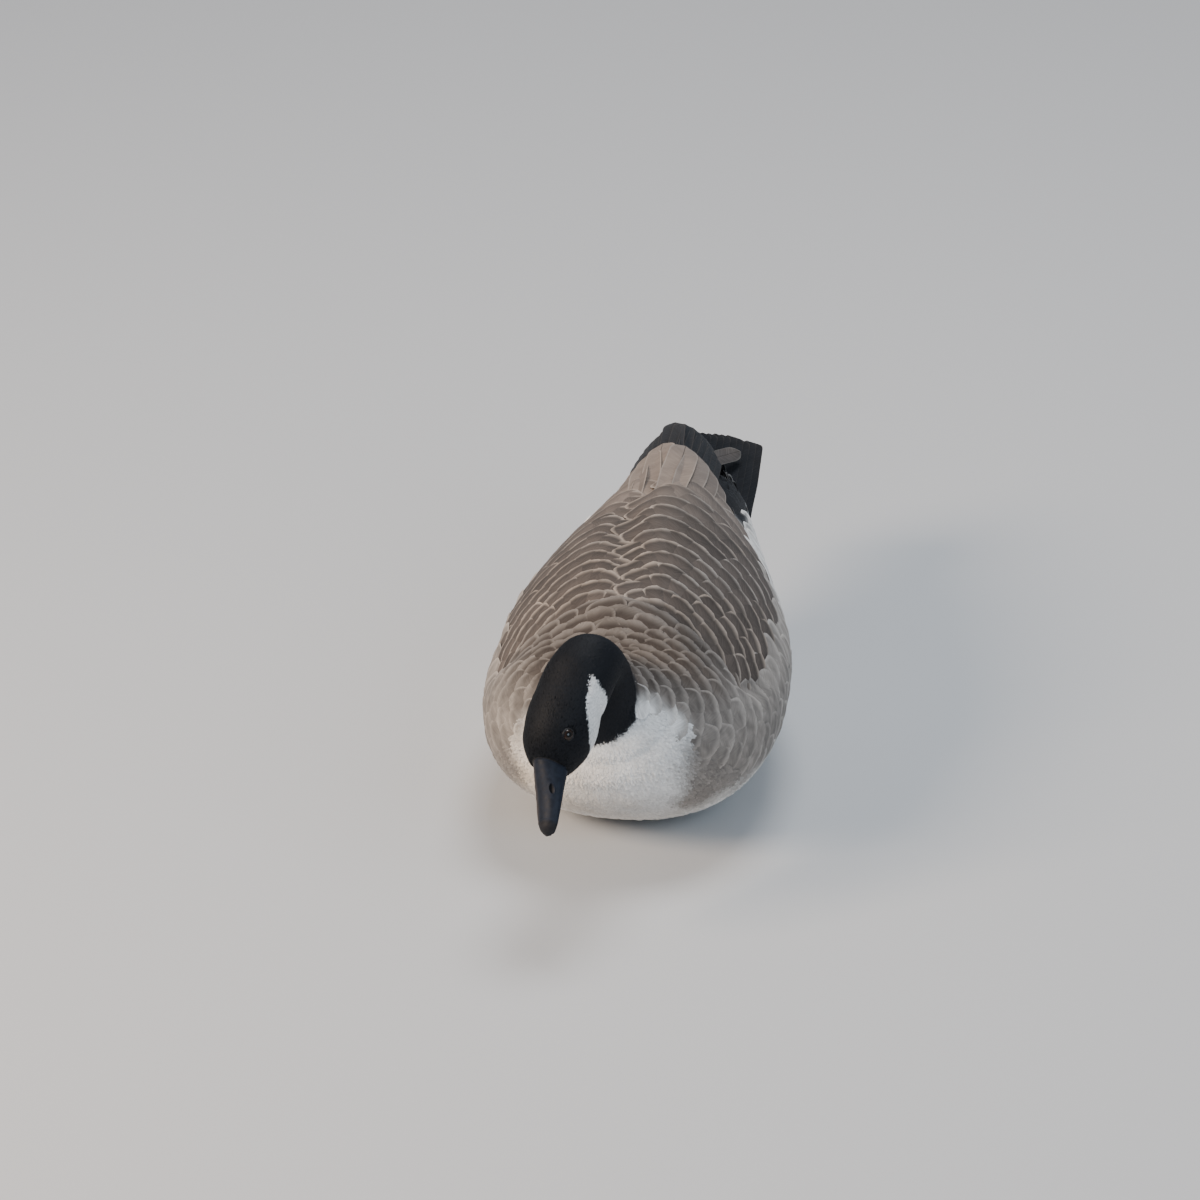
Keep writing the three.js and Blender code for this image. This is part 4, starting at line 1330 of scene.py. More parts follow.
@dataclass
class Wing:
    """One folded wing: a core, rows of shingled feathers, the long tertials and the black primaries.

    The rows are given by the y that their lines start from. A line sweeps forward towards the lower edge and
    dips at the meeting line. The feathers' half width grows from the first row to the last.
    """

    side: Side
    rows: tuple = (-136, -119, -101, -83, -64, -45, -25, -5, 16, 39, 63, 89, 118, 151, 184)
    last_spacing: float = 34.0
    wide_front: float = 12.0
    wide_back: float = 23.0
    sweep: float = 74.0
    curve: float = 2.1
    dips: tuple = ((0, 8), (3, 24), (8, 36), (12, 28), (14, 14))
    most_turn: float = 56.0
    lift: float = 4.2
    tuck: float = 4.2
    core_depth: float = 1.6
    core_thick: float = 5.0

    def core(self) -> bpy.types.Object:
        """A closed shell under the feathers, from the meeting line to the lower edge.

        Its upper sheet is the fold's surface sunk by 1.6 mm. Its lower sheet lies 5 (sin(pi q) sin(pi p))^0.3
        deeper, at the shares q round the wing and p along it.

        Returns:
            The new object.
        """
        rows, columns = 60, 24
        y = np.linspace(WING_FRONT + 3, WING_BACK - 2, rows)[:, None]
        q = np.linspace(0, 1, columns)
        start = np.maximum(62.0 * smooth(70, 150, -y), 0.4)
        distance = start + (WINGS.edge(y) - 1.5 - start) * q
        closing = np.sin(math.pi * q) ** 0.3 * np.sin(math.pi * np.linspace(0.0, 1, rows))[:, None] ** 0.3
        depth = -self.core_depth - self.sunk(y)
        points = np.stack([WINGS.surface(y, distance * self.side.value, lift)
                           for lift in (depth, depth - self.core_thick * closing)]).reshape(-1, 3)
        faces = shell_faces(rows, columns)
        if self.side is Side.RIGHT:
            faces = faces[:, ::-1]
        # Painted shade: dark brown where the core shows between the feathers, and black towards the back,
        # where it also stands for the dark folded primaries.
        tint = blend(BROWN * 0.6, BLACK, smooth(165, 200, np.broadcast_to(y, distance.shape)))
        tint = np.stack([tint, tint]).reshape(-1, 3)
        return make_piece(f"wing_core_{self.side.word}", points, [faces], SKIN_DOWN, "wing_feathers",
                          {"tint": rgba(tint)})

    def over(self, y: np.ndarray, distance: np.ndarray, lift: np.ndarray) -> tuple[np.ndarray, np.ndarray]:
        """Places over the wing, and the way out there.

        Args:
            y: places along the body.
            distance: distances round from the middle of the back, positive outwards.
            lift: heights over the fold.

        Returns:
            Points in millimetres and unit directions.
        """
        distance = distance * self.side.value
        upper = WINGS.surface(y, distance, lift)
        return upper, unit(WINGS.surface(y, distance, lift + 1) - upper)

    @staticmethod
    def sunk(y: np.ndarray) -> np.ndarray:
        """How far the wing's front end dives under the feathers of the back."""
        return 13 * smooth(-122, -158, y)

    def row(self, number: int, draw: np.random.Generator) -> np.ndarray:
        """The feathers of one row, along y0 - S q^c - D (1 - q/0.34)^2 from the meeting line to the edge.

        Args:
            number: which row.
            draw: the seeded source of random numbers.

        Returns:
            For each feather its tip's y and distance, the angle it points out by, its spacing and half width.
        """
        tip = self.rows[number] + self.side.pick(0, 7)
        spacing = (*self.rows, self.rows[-1] + self.last_spacing)[number + 1] - self.rows[number]
        half = np.interp(number, [0, len(self.rows) - 1], [self.wide_front, self.wide_back])
        q = np.linspace(0, 1, 241)
        dip = np.interp(number, *np.array(self.dips).T)
        y = tip - self.sweep * q ** self.curve - dip * np.maximum(1 - q / 0.34, 0) ** 2
        inner = seam(y) * self.side.value
        distance = inner + (WINGS.edge(y) - inner) * q
        arc = running(np.hypot(np.diff(distance), np.diff(y)))
        many = max(3, round(arc[-1] / (half * 1.1)))
        spots = (np.arange(many) + number % 2 * 0.5) / many * arc[-1] + draw.normal(0, 0.07 * half, many)
        turn = np.arctan2(-np.gradient(y, arc), np.gradient(distance, arc))
        turn = np.clip(np.interp(spots, arc, turn), math.radians(-35), math.radians(self.most_turn))
        return np.stack([np.interp(spots, arc, y) + draw.normal(0, spacing * 0.05, many),
                         np.interp(spots, arc, distance), turn + draw.normal(0, 0.03, many),
                         np.full(many, spacing), half * draw.uniform(0.92, 1.1, many)], -1)

    def coverts(self) -> None:
        """The shingled rows, each feather lifted by 4.2 u^1.15 and tilted to lie over the next with one side.

        Near the wing's lower edge they sink, to lie under the flank's feathers. The middle is darkest at a
        quarter of a row's spacing before the tip.
        """
        draw = np.random.default_rng(self.side.pick(21, 22))
        table = np.vstack([self.row(number, draw) for number in range(len(self.rows))])
        tip, place, turn, spacing, half = table[table[:, 0] > WING_FRONT + 8].T
        spacing = spacing * (0.35 + 0.65 * np.cos(turn))
        long = np.minimum(spacing * 2.1 + 15, np.maximum(tip + 158, 16))
        vanes = VaneSet(f"wing_coverts_{self.side.word}", long, half, tip=0.5, square=2.8)
        sin, cos = each(np.sin(turn)), each(np.cos(turn))
        ragged = draw.normal(0, 0.45, (len(tip), 1, vanes.columns)) * smooth(0.75, 1.0, vanes.run)
        back = vanes.back + 0.10 * each(half) * vanes.v ** 2 + ragged
        y = each(tip) - back * cos - vanes.aside * sin
        distance = each(place) - back * sin + vanes.aside * cos
        distance = distance - 0.8 * np.maximum(distance - WINGS.edge(y) - 5, 0)
        lift = (self.side.pick(0.9, 0.0) - 1.2 + self.lift * vanes.run ** 1.15 - 0.5 * vanes.v
                + 1.1 * vanes.arch * vanes.width[..., None]
                + each(draw.normal(0, 0.22, len(tip))) * vanes.run)
        tucked = self.tuck * smooth(-10, 3, distance - WINGS.edge(y))
        upper, out = self.over(y, distance, lift - self.sunk(y) - tucked)
        worn = ripple(upper[:, -1, 4], 60, 31)
        base = blend(BROWN, BROWN * 1.45, np.clip(0.35 + 0.5 * worn, 0, 1))
        base = blend(base, TERTIAL, smooth(40, 160, tip) * 0.78) * draw.uniform(0.86, 1.14, (len(tip), 1))
        pale = blend(BUFF, FLANK_EDGE, np.clip(0.2 + 0.4 * worn, 0, 1))
        pale = pale * draw.uniform(0.8, 1.12, (len(tip), 1))
        shade = 1.28 - 0.55 * np.exp(-((vanes.back / each(spacing) - 0.24) / 0.30) ** 2)
        wide = np.interp(spacing, [8, 18, 30, 50], [3.0, 4.4, 4.0, 3.2]) * draw.uniform(0.75, 1.25, len(tip))
        vanes.build(upper, out, each(base) * shade[..., None], pale, wide, WING_VANE, "wing_feathers", 41,
                    0.08, self.side is Side.RIGHT)

    def blades(self, kind: Blades) -> None:
        """The long feathers of one kind, each flat across its shaft and one over the other.

        Args:
            kind: which they are and how they lie.
        """
        draw = np.random.default_rng(kind.seed + self.side.value)
        k = np.linspace(0, 1, kind.count)
        tip, shaft, height = (first + (last - first) * k
                              for first, last in (kind.tips, kind.aside, kind.lifts))
        tip = tip + draw.normal(0, 1.0, kind.count)
        vanes = VaneSet(f"{kind.name}_{self.side.word}", tip - kind.root, np.full(kind.count, kind.half),
                        rows=22, columns=11, thick=0.6, tip=1.25, square=2.2, root=0.8)
        shaft, height = each(shaft), each(height)
        y = each(tip) - vanes.back - 0.15 * kind.half * vanes.v ** 2
        rise = np.where(height > 0, height * smooth(*kind.risen, vanes.run) - 0.5, height)
        upper, out = self.over(y, shaft, rise - 0.3 * vanes.v ** 2 - 0.25 * vanes.v + 0.4)
        beside, before = (self.over(y, shaft + further, rise)[0] for further in (1.5, 0))
        upper = upper + unit(beside - before) * (vanes.aside * (1 - 0.2 * vanes.run))[..., None]
        tint = kind.colour * draw.uniform(0.88, 1.1, (kind.count, 1)) * (1 - 0.3 * k[:, None])
        vanes.build(upper, out, tint, np.tile(kind.pale, (kind.count, 1)), np.full(kind.count, kind.fringe),
                    kind.finish, "wing_feathers", kind.seed, 0.5, self.side is Side.RIGHT)

    def build(self) -> None:
        """Makes the wing's pieces, the core last, in place of the wing's solid."""
        self.coverts()
        pick = self.side.pick
        self.blades(Blades(
            "tertials", root=100.0, tips=pick((223.0, 206.0), (243.0, 208.0)), aside=(pick(7.0, 10.0), 42.0),
            lifts=pick((8.6, 3.6), (5.4, 3.0)), half=15.5, count=4, colour=TERTIAL, pale=(0.285, 0.24, 0.205),
            fringe=2.4, finish=LONG_VANE, seed=51, risen=(-0.1, 0.6)))
        self.blades(Blades(
            "secondaries", root=150.0, tips=pick((303.0, 290.0), (300.0, 268.0)),
            aside=pick((-3.0, 34.0), (6.0, 38.0)), lifts=pick((7.4, 4.4), (5.2, 1.4)), half=12.0, count=7,
            colour=BLACK * 1.3, pale=(0.035, 0.031, 0.029), fringe=1.2, finish=DARK_VANE, seed=56))
        self.blades(Blades(
            "primaries", root=196.0, tips=(310.0, 336.0), aside=(19.0, 8.0), lifts=(-0.4, -4.6), half=9.5,
            count=8, colour=BLACK, pale=(0.03, 0.028, 0.027), fringe=1.0, finish=DARK_VANE, seed=61))
        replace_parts(self.core(), f"wing_{self.side.word}")


@dataclass
class Contour:
    """The overlapping feathers of mantle, breast's side, flank and rump, on one side of the body.

    Spacings and half widths are read between the stations. The rows are set off along a line on the flank and
    reach round to the lowest angle.
    """

    side: Side
    first: float = 11.35
    last: float = 2.35
    flank: float = 70.0
    lowest: float = 126.0
    samples: tuple = (400, 200)
    stations: tuple = (2.3, 4.5, 8.0, 9.5, 11.3)
    spacings: tuple = (15, 17, 16, 14, 9.5)
    halves: tuple = (13, 17, 17, 14.5, 10)
    over_wings: float = 3.2

    @staticmethod
    def covered(points: np.ndarray, at: np.ndarray, angle: np.ndarray) -> np.ndarray:
        """How much a place on the body is covered by these feathers rather than by tufts.

        Args:
            points: places in millimetres.
            at: their stations.
            angle: their angles round the body.

        Returns:
            0 for tufts to 1 for vanes.
        """
        turned = np.abs((np.degrees(angle) + 180) % 360 - 180)
        over, beside = breast_edges(points, np.abs(points[..., 0] + 3), 62)
        share = smooth(122, 112, turned) * np.maximum(smooth(-10, 4, over), smooth(-12, 4, beside))
        return share * smooth(11.7, 11.3, at) * smooth(2.0, 2.4, at)

    def places(self, draw: np.random.Generator) -> tuple[np.ndarray, ...]:
        """The feathers' places, in rows that get closer towards the neck.

        Args:
            draw: the seeded source of random numbers.

        Returns:
            Stations, angles, spacings and half widths.
        """
        many_along, many_round = self.samples
        fine = np.linspace(self.last, self.first, many_along)
        reach = run_along(FORM.surface(fine, np.full(many_along, math.radians(self.flank * self.side.value))))
        step = reach[-1] / (self.first - self.last)
        turns = np.linspace(0, math.radians(self.lowest), many_round)
        table, place = [], reach[-1]
        while place > 0:
            at = float(np.interp(place, reach, fine))
            spacing, half = (float(np.interp(at, self.stations, sizes))
                             for sizes in (self.spacings, self.halves))
            arc = run_along(FORM.surface(np.full(many_round, at), turns * self.side.value))
            many = max(4, round(arc[-1] / (half * 1.2)))
            spots = (np.arange(many) + len(table) % 2 * 0.5) / many * arc[-1]
            angle = np.interp(spots + draw.normal(0, 0.1 * half, many), arc, turns)
            table.append(np.stack([at + draw.normal(0, 0.09 * spacing / step, many), angle,
                                   np.full(many, spacing), half * draw.uniform(0.9, 1.1, many)], -1))
            place -= spacing
        at, angle, spacing, half = np.vstack(table).T
        points = FORM.surface(at, angle * self.side.value)
        free = (wing_cover(points)[0] < 0.8) | (points[:, 1] < -116)
        keep = (self.covered(points, at, angle) > 0.35) & free
        return at[keep], angle[keep], spacing[keep], half[keep]

    def build(self) -> None:
        """Lays the feathers: each has its tip at its place and runs forward from there over the body.

        Over the wing's edge and the wing's front they follow the wing's feathers, from 3.2 mm above the fold.
        """
        draw = np.random.default_rng(self.side.pick(71, 72))
        at, angle, spacing, half = self.places(draw)
        sign, count = self.side.value, len(at)
        point = FORM.surface(at, angle * sign)
        ahead, beside = 0.05, 0.02
        step = np.linalg.norm(FORM.surface(at + ahead, angle * sign) - point, axis=-1) / ahead
        turn = np.linalg.norm(FORM.surface(at, (angle + beside) * sign) - point, axis=-1) / beside
        vanes = VaneSet(f"contour_{self.side.word}", spacing * 2.1 + 9, half, rows=12, thick=0.4, tip=0.6,
                        square=2.8)
        ragged = draw.normal(0, 0.5, (count, 1, vanes.columns)) * smooth(0.7, 1.0, vanes.run)
        grid_at = np.clip(each(at) + (vanes.back + ragged) / each(step), 0, 12.4)
        swing = each(draw.normal(0.02, 0.06, count))
        grid_angle = each(angle) + (vanes.aside + vanes.back * swing) / each(turn)
        where, normal, _ = FORM.place(grid_at, grid_angle * sign)
        lift = (-3.0 + 4.3 * vanes.run - 0.4 * vanes.v + 0.5 * vanes.arch * vanes.width[..., None]
                + each(draw.normal(0, 0.25, count)))
        lift = lift * each(np.interp(at, [9.5, 11.3], [1.0, 0.75]))
        upper = where + normal * lift[..., None]
        over = self.over_wings + 2.4 * smooth(-108, -130, upper[..., 1]) + lift
        upper = fit_wings(upper, over, over)
        shade = 1.16 - 0.34 * np.exp(-((vanes.back / each(spacing) - 0.25) / 0.32) ** 2)
        tint = Markings.body(where, grid_at) * draw.uniform(0.88, 1.12, (count, 1, 1, 1)) * shade[..., None]
        middle = Markings.body(point, at)
        pale = blend(middle * 1.6, np.tile(FLANK_EDGE, (count, 1)), 0.35)
        pale = np.where(middle.mean(-1, keepdims=True) > 0.5, np.minimum(middle * 1.06, 0.93), pale)
        pale = np.clip(pale * draw.uniform(0.85, 1.12, (count, 1)), 0, 0.93)
        wide = np.interp(spacing, [7, 17], [3.0, 5.2]) * draw.uniform(0.7, 1.3, count)
        vanes.build(upper, normal, tint, pale, wide, FLANK_VANE, "body_plumage", 73, 0.09,
                    self.side is Side.RIGHT)


@dataclass
class Tail:
    """The tail's black feathers, one stray feather, and the coverts over and under their roots.

    The fan is counted in steps from its middle, as many over its whole width as its span. Its plane's height
    is that at the tail's root.
    """

    half: float = TAIL["half"]
    span: float = 14.0
    plane: float = 122.0
    rim: tuple = (0.035, 0.033, 0.033)
    stray_tint: tuple = (0.085, 0.075, 0.07)
    stray_rim: tuple = (0.13, 0.12, 0.11)
    stray_root: tuple = (6.0, 252.0, 160.0)
    stray_tip: tuple = (39.0, 303.0, 151.5)

    def fan(self) -> None:
        """The fan. Feather k from the middle is lower by 0.93 |k|, and the fan is raised on its left side."""
        count = TAIL["feathers"]
        draw = np.random.default_rng(81)
        k = (np.arange(count) - (count - 1) / 2) * self.span / count
        (root, root_z), (end, end_z) = TAIL["root"], TAIL["tip"]
        tip = end - TAIL["shorter"] * (k / (self.span / 2)) ** 2 + draw.normal(0, 0.8, count)
        vanes = VaneSet("tail_feathers", tip - root, np.full(count, self.half), rows=20, columns=11,
                        thick=0.55, tip=1.2, square=3.6, root=0.8)
        y = each(tip) - vanes.back - 1.8 * vanes.v ** 2
        along = (y - root) / (end - root)
        apart = TAIL["root_apart"] + (TAIL["tip_apart"] - TAIL["root_apart"]) * along
        x = each(k) * apart + vanes.aside
        layer = TAIL["layer"] * each(np.abs(k) + np.where(k > 0, 0.45, 0.0))
        z = (root_z + (end_z - root_z) * along - layer - 0.4 * vanes.v ** 2
             + x * math.tan(math.radians(TAIL["raised"])))
        upper = np.stack([TAIL["left"] + x, y, z], -1)
        colour = BLACK * 1.05 * draw.uniform(0.9, 1.1, (count, 1))
        rim = np.tile(self.rim, (count, 1))
        piece = vanes.build(upper, np.array([0.0, -0.2, 0.98]), colour, rim, np.full(count, 0.8), DARK_VANE,
                            "tail_feathers", 83)
        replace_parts(piece, "tail")

    def stray(self) -> None:
        """One grey-brown wing feather that has slipped out to the left over the tail."""
        tip = np.array(self.stray_tip)
        reach = tip - self.stray_root
        way = unit(reach)
        across = unit(np.cross(way, np.array([0.0, -0.75, 0.66])))
        out = np.cross(across, way)
        vanes = VaneSet("stray_feather", np.array([np.linalg.norm(reach)]), np.array([7.5]), rows=18,
                        columns=9, thick=0.5, tip=1.6, square=2.0, root=0.7)
        upper = (tip - way * vanes.back[..., None] + across * vanes.aside[..., None]
                 + out * (1.0 - 1.2 * vanes.v ** 2)[..., None])
        vanes.build(upper, out, np.array([self.stray_tint]), np.array([self.stray_rim]), np.array([1.6]),
                    DARK_VANE, "wing_feathers", 84)

    def coverts(self, name: str, seed: int, count: int, stations: tuple, low: float, high: float) -> None:
        """Feathers round the tail's root, white below the fan's plane and black above it.

        Args:
            name: the piece's name.
            seed: for their places.
            count: how many.
            stations: the first and last station of their roots.
            low: the least angle from the middle of the back, in degrees.
            high: the greatest angle.
        """
        draw = np.random.default_rng(seed)
        at = draw.uniform(*stations, count)
        angle = np.radians(draw.uniform(low, high, count)) * draw.choice([-1, 1], count)
        point, out, back = FORM.place(at, angle)
        back = unit(back + np.cross(out, back) * draw.normal(0, 0.08, count)[:, None])
        across = np.cross(out, back)
        long = np.interp(at, [0.3, 3.0], [34, 32]) * draw.uniform(0.85, 1.1, count)
        half = 9.0 * draw.uniform(0.85, 1.15, count)
        vanes = VaneSet(name, long, half, rows=10, columns=7, thick=0.4, tip=1.1)
        rise = (3.4 * vanes.run + 0.8 * vanes.arch - 3.2)[..., None]
        upper = (each(point) + each(back) * (each(long) - vanes.back)[..., None]
                 + each(across) * vanes.aside[..., None] + each(out) * rise)
        x, y, z = np.moveaxis(upper, -1, 0)
        plane = self.plane + FAN_BACK * (y - TAIL["root"][0]) + FAN_LEFT * x
        black = smooth(-3, 3, z - plane)
        colour = blend(WHITE, BLACK, black) * each(draw.uniform(0.9, 1.04, (count, 1)))
        vanes.build(upper, each(out), colour, colour[:, -1, vanes.columns // 2] * 1.02, np.full(count, 1.5),
                    FLANK_VANE, "body_plumage", seed, flip=True)

    def build(self) -> None:
        """Makes the fan, the stray feather, and the coverts over and under the tail's root."""
        self.fan()
        self.stray()
        self.coverts("tail_coverts_upper", 85, 60, (1.7, 3.2), 20, 75)
        self.coverts("tail_coverts_under", 86, 150, (0.35, 3.0), 75, 180)


@dataclass
class Bill:
    """The bill, in an upper and a lower half, with nostrils, a nail and small teeth along the mouth."""

    along: int = 230
    around: int = 110
    inset: float = 2.5
    shorter_below: float = 2.4
    # Near-black horn with a blue cast that is painted reflection of the sky.
    horn: tuple = (0.012, 0.016, 0.026)
    # Painted warm light: the brown down the bill's lit right side.
    brown: tuple = (0.062, 0.050, 0.045)
    nail: tuple = (0.016, 0.016, 0.019)
    # Painted shade: near black inside the nostrils.
    hollow: tuple = (0.004, 0.004, 0.005)

    def tint(self, local: np.ndarray) -> np.ndarray:
        """Blue-grey horn, browner down the right side, with a dark nail.

        The horn's blue cast is painted reflection of the sky, and the brown side is painted warm light.

        Args:
            local: left, forward and up in the head, in millimetres.

        Returns:
            Linear red, green and blue for each place.
        """
        x, a, z = np.moveaxis(local, -1, 0)
        # Share of the painted warm light down the bill's right side.
        share = smooth(-2, -8.5, x + 0.6 * ripple(local, 12, 91))
        colour = blend(self.horn, self.brown, share * 0.8)
        return blend(colour, self.nail, smooth(99, 103, a) * smooth(-19.5, -17, z))

    def nostrils(self, local: np.ndarray) -> np.ndarray:
        """Presses the nostrils into both sides, each a hollow with a low ridge round it.

        Args:
            local: left, forward and up in the head, in millimetres, which are moved.

        Returns:
            How much each place is in a nostril.
        """
        slope = math.radians(NOSTRIL["slope"])
        da, dz = local[..., 1] - NOSTRIL["a"], local[..., 2] - NOSTRIL["up"]
        p = (da * math.cos(slope) - dz * math.sin(slope)) / NOSTRIL["long"]
        q = (da * math.sin(slope) + dz * math.cos(slope)) / NOSTRIL["high"]
        inside = smooth(1.0, 0.55, p * p + q * q)
        ridge = smooth(2.4, 1.2, p * p + q * q) * (1 - inside)
        local[..., 0] -= np.sign(local[..., 0]) * (NOSTRIL["deep"] * inside - 0.3 * ridge)
        return inside

    def half_shell(self, name: str, upper: bool) -> None:
        """One half, closed by a flat face at the mouth.

        The upper half is z = m + (c - m) cos^0.85 t and x = h sin t, from -90 to 90 degrees, with teeth along
        the mouth and a nail at the tip. The lower half goes from the mouth to the underside, with cos^0.7.

        Args:
            name: the piece's and its node's name.
            upper: whether it is the upper half.
        """
        start, end = BILL[0, 0], BILL[-1, 0] - (0.0 if upper else self.shorter_below)
        share = np.sin(np.linspace(0, 1, self.along) * math.pi / 2)
        a = start - self.inset + (end - start + self.inset) * share
        culmen, mouth, under, half = (column[:, None] for column in hermite(BILL, a).T)
        a = a[:, None]
        t = np.linspace(-math.pi / 2, math.pi / 2, self.around)
        lean = np.cos(t)
        if upper:
            teeth = 0.22 * np.sin(a * 4.2) * smooth(0.25, 0.0, lean) * smooth(60, 64, a)
            nail = smooth(98.5, 101, a) * smooth(0.25, 0.6, lean)
            z = mouth + (culmen - mouth) * np.maximum(lean, 0) ** 0.85 + 0.55 * nail + teeth
            x = half * np.sin(t) * (1 + 0.035 * smooth(0.35, 0.0, lean))
        else:
            z = mouth - 0.3 - (mouth - 0.3 - under) * np.maximum(lean, 0) ** 0.7
            x = half * 0.92 * np.sin(t)
        local = np.stack(np.broadcast_arrays(x, a, z), -1)
        colour = self.tint(local)
        if upper:
            # The nostrils are painted near black as shade in the hollow.
            colour = blend(colour, self.hollow, self.nostrils(local))
        floor = local.copy()
        floor[..., 2] = mouth + (0.12 if upper else -0.42)
        floor[..., 0] = local[..., 0] * 0.96
        points = FORM.from_head(np.concatenate([local, floor[:, ::-1]], 1).reshape(-1, 3))
        # The flat face at the mouth is darkened to 0.6 as painted shade between the two halves.
        colour = np.concatenate([colour, colour[:, ::-1] * 0.6], 1).reshape(-1, 3)
        faces = tube_faces(self.along, 2 * self.around, upper)
        piece = make_piece(name, points, faces, BILL_HORN, "bill_horn", {"tint": rgba(colour)}, sharp=50)
        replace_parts(piece, name)

    def build(self) -> None:
        """Makes both halves."""
        self.half_shell("bill_upper", True)
        self.half_shell("bill_lower", False)


@dataclass
class Eye:
    """One eye and its lids."""

    side: Side
    iris: tuple = (0.016, 0.0075, 0.004)
    pupil: tuple = (0.002, 0.002, 0.002)
    lid: tuple = (0.009, 0.009, 0.010)

    def build(self) -> None:
        """Makes the ball and the rim of the lids."""
        self.ball()
        self.lids()

    def places(self, out: np.ndarray, ahead: np.ndarray, above: np.ndarray) -> np.ndarray:
        """Places in the eye, whose axis stands square to the head's side there.

        Args:
            out: the distance from the ball's middle along its axis.
            ahead: the distance forward across the axis.
            above: the distance up across the axis.

        Returns:
            Points in millimetres, one to a row.
        """
        axis = unit(np.array(EYE["axis"]))
        forward = unit(np.array([0.0, 1.0, 0.0]) - axis * axis[1])
        crown = unit(np.array([0.0, 0.0, 1.0]) - axis * axis[2] - forward * forward[2])
        local = EYE["middle"] + out[..., None] * axis + ahead[..., None] * forward + above[..., None] * crown
        return FORM.from_head((local * [self.side.value, 1, 1]).reshape(-1, 3))

    def ball(self) -> None:
        """A sphere with a raised cornea: r = R(1 + 0.05 exp(-(p / 0.75)^4)) at p radians off its axis."""
        rows, columns = 40, 48
        polar, turn = np.meshgrid(np.linspace(0.02, math.pi - 0.02, rows), full_turn(columns), indexing="ij")
        radius = EYE["radius"] * (1 + 0.05 * np.exp(-(polar / 0.75) ** 4))
        points = self.places(radius * np.cos(polar), radius * np.sin(polar) * np.cos(turn),
                             radius * np.sin(polar) * np.sin(turn))
        dark = np.maximum(smooth(0.36, 0.32, polar), smooth(0.78, 0.9, polar) * 0.9)
        colour = blend(self.iris, self.pupil, dark).reshape(-1, 3)
        faces = tube_faces(rows, columns, self.side is Side.RIGHT)
        piece = make_piece(f"eye_{self.side.word}", points, faces, EYE_GLASS, "eye", {"tint": rgba(colour)})
        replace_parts(piece, f"eye_{self.side.word}")

    def lids(self) -> None:
        """An oval rim round the eye, thicker above: a tube of radius 0.7 to 1 along (5 cos t, 4.2 sin t)."""
        rows, columns = 64, 14
        t, p = full_turn(rows)[:, None], full_turn(columns)
        radius = 0.7 + 0.3 * np.clip(np.sin(t), 0, 1)
        tilt = math.radians(EYE["tilt"])
        ahead = (EYE["long"] + radius * np.cos(p)) * np.cos(t)
        above = (EYE["high"] + radius * np.cos(p)) * np.sin(t)
        ball = EYE["radius"] ** 2 - (EYE["long"] * np.cos(t)) ** 2 - (EYE["high"] * np.sin(t)) ** 2
        out = np.sqrt(ball) + 0.25 + radius * 0.8 * np.sin(p)
        points = self.places(out, ahead * math.cos(tilt) - above * math.sin(tilt),
                             ahead * math.sin(tilt) + above * math.cos(tilt))
        number = np.arange(rows * columns).reshape(rows, columns)
        ahead = np.roll(number, -1, 0)
        faces = np.stack([number, np.roll(number, -1, 1), np.roll(ahead, -1, 1), ahead], -1).reshape(-1, 4)
        if self.side is Side.LEFT:
            faces = faces[:, ::-1]
        tint = np.tile(self.lid, (rows * columns, 1))
        make_piece(f"lids_{self.side.word}", points, [faces], LEG_SKIN, "black_plumage", {"tint": rgba(tint)})


Shape = tuple[np.ndarray, list[np.ndarray]]


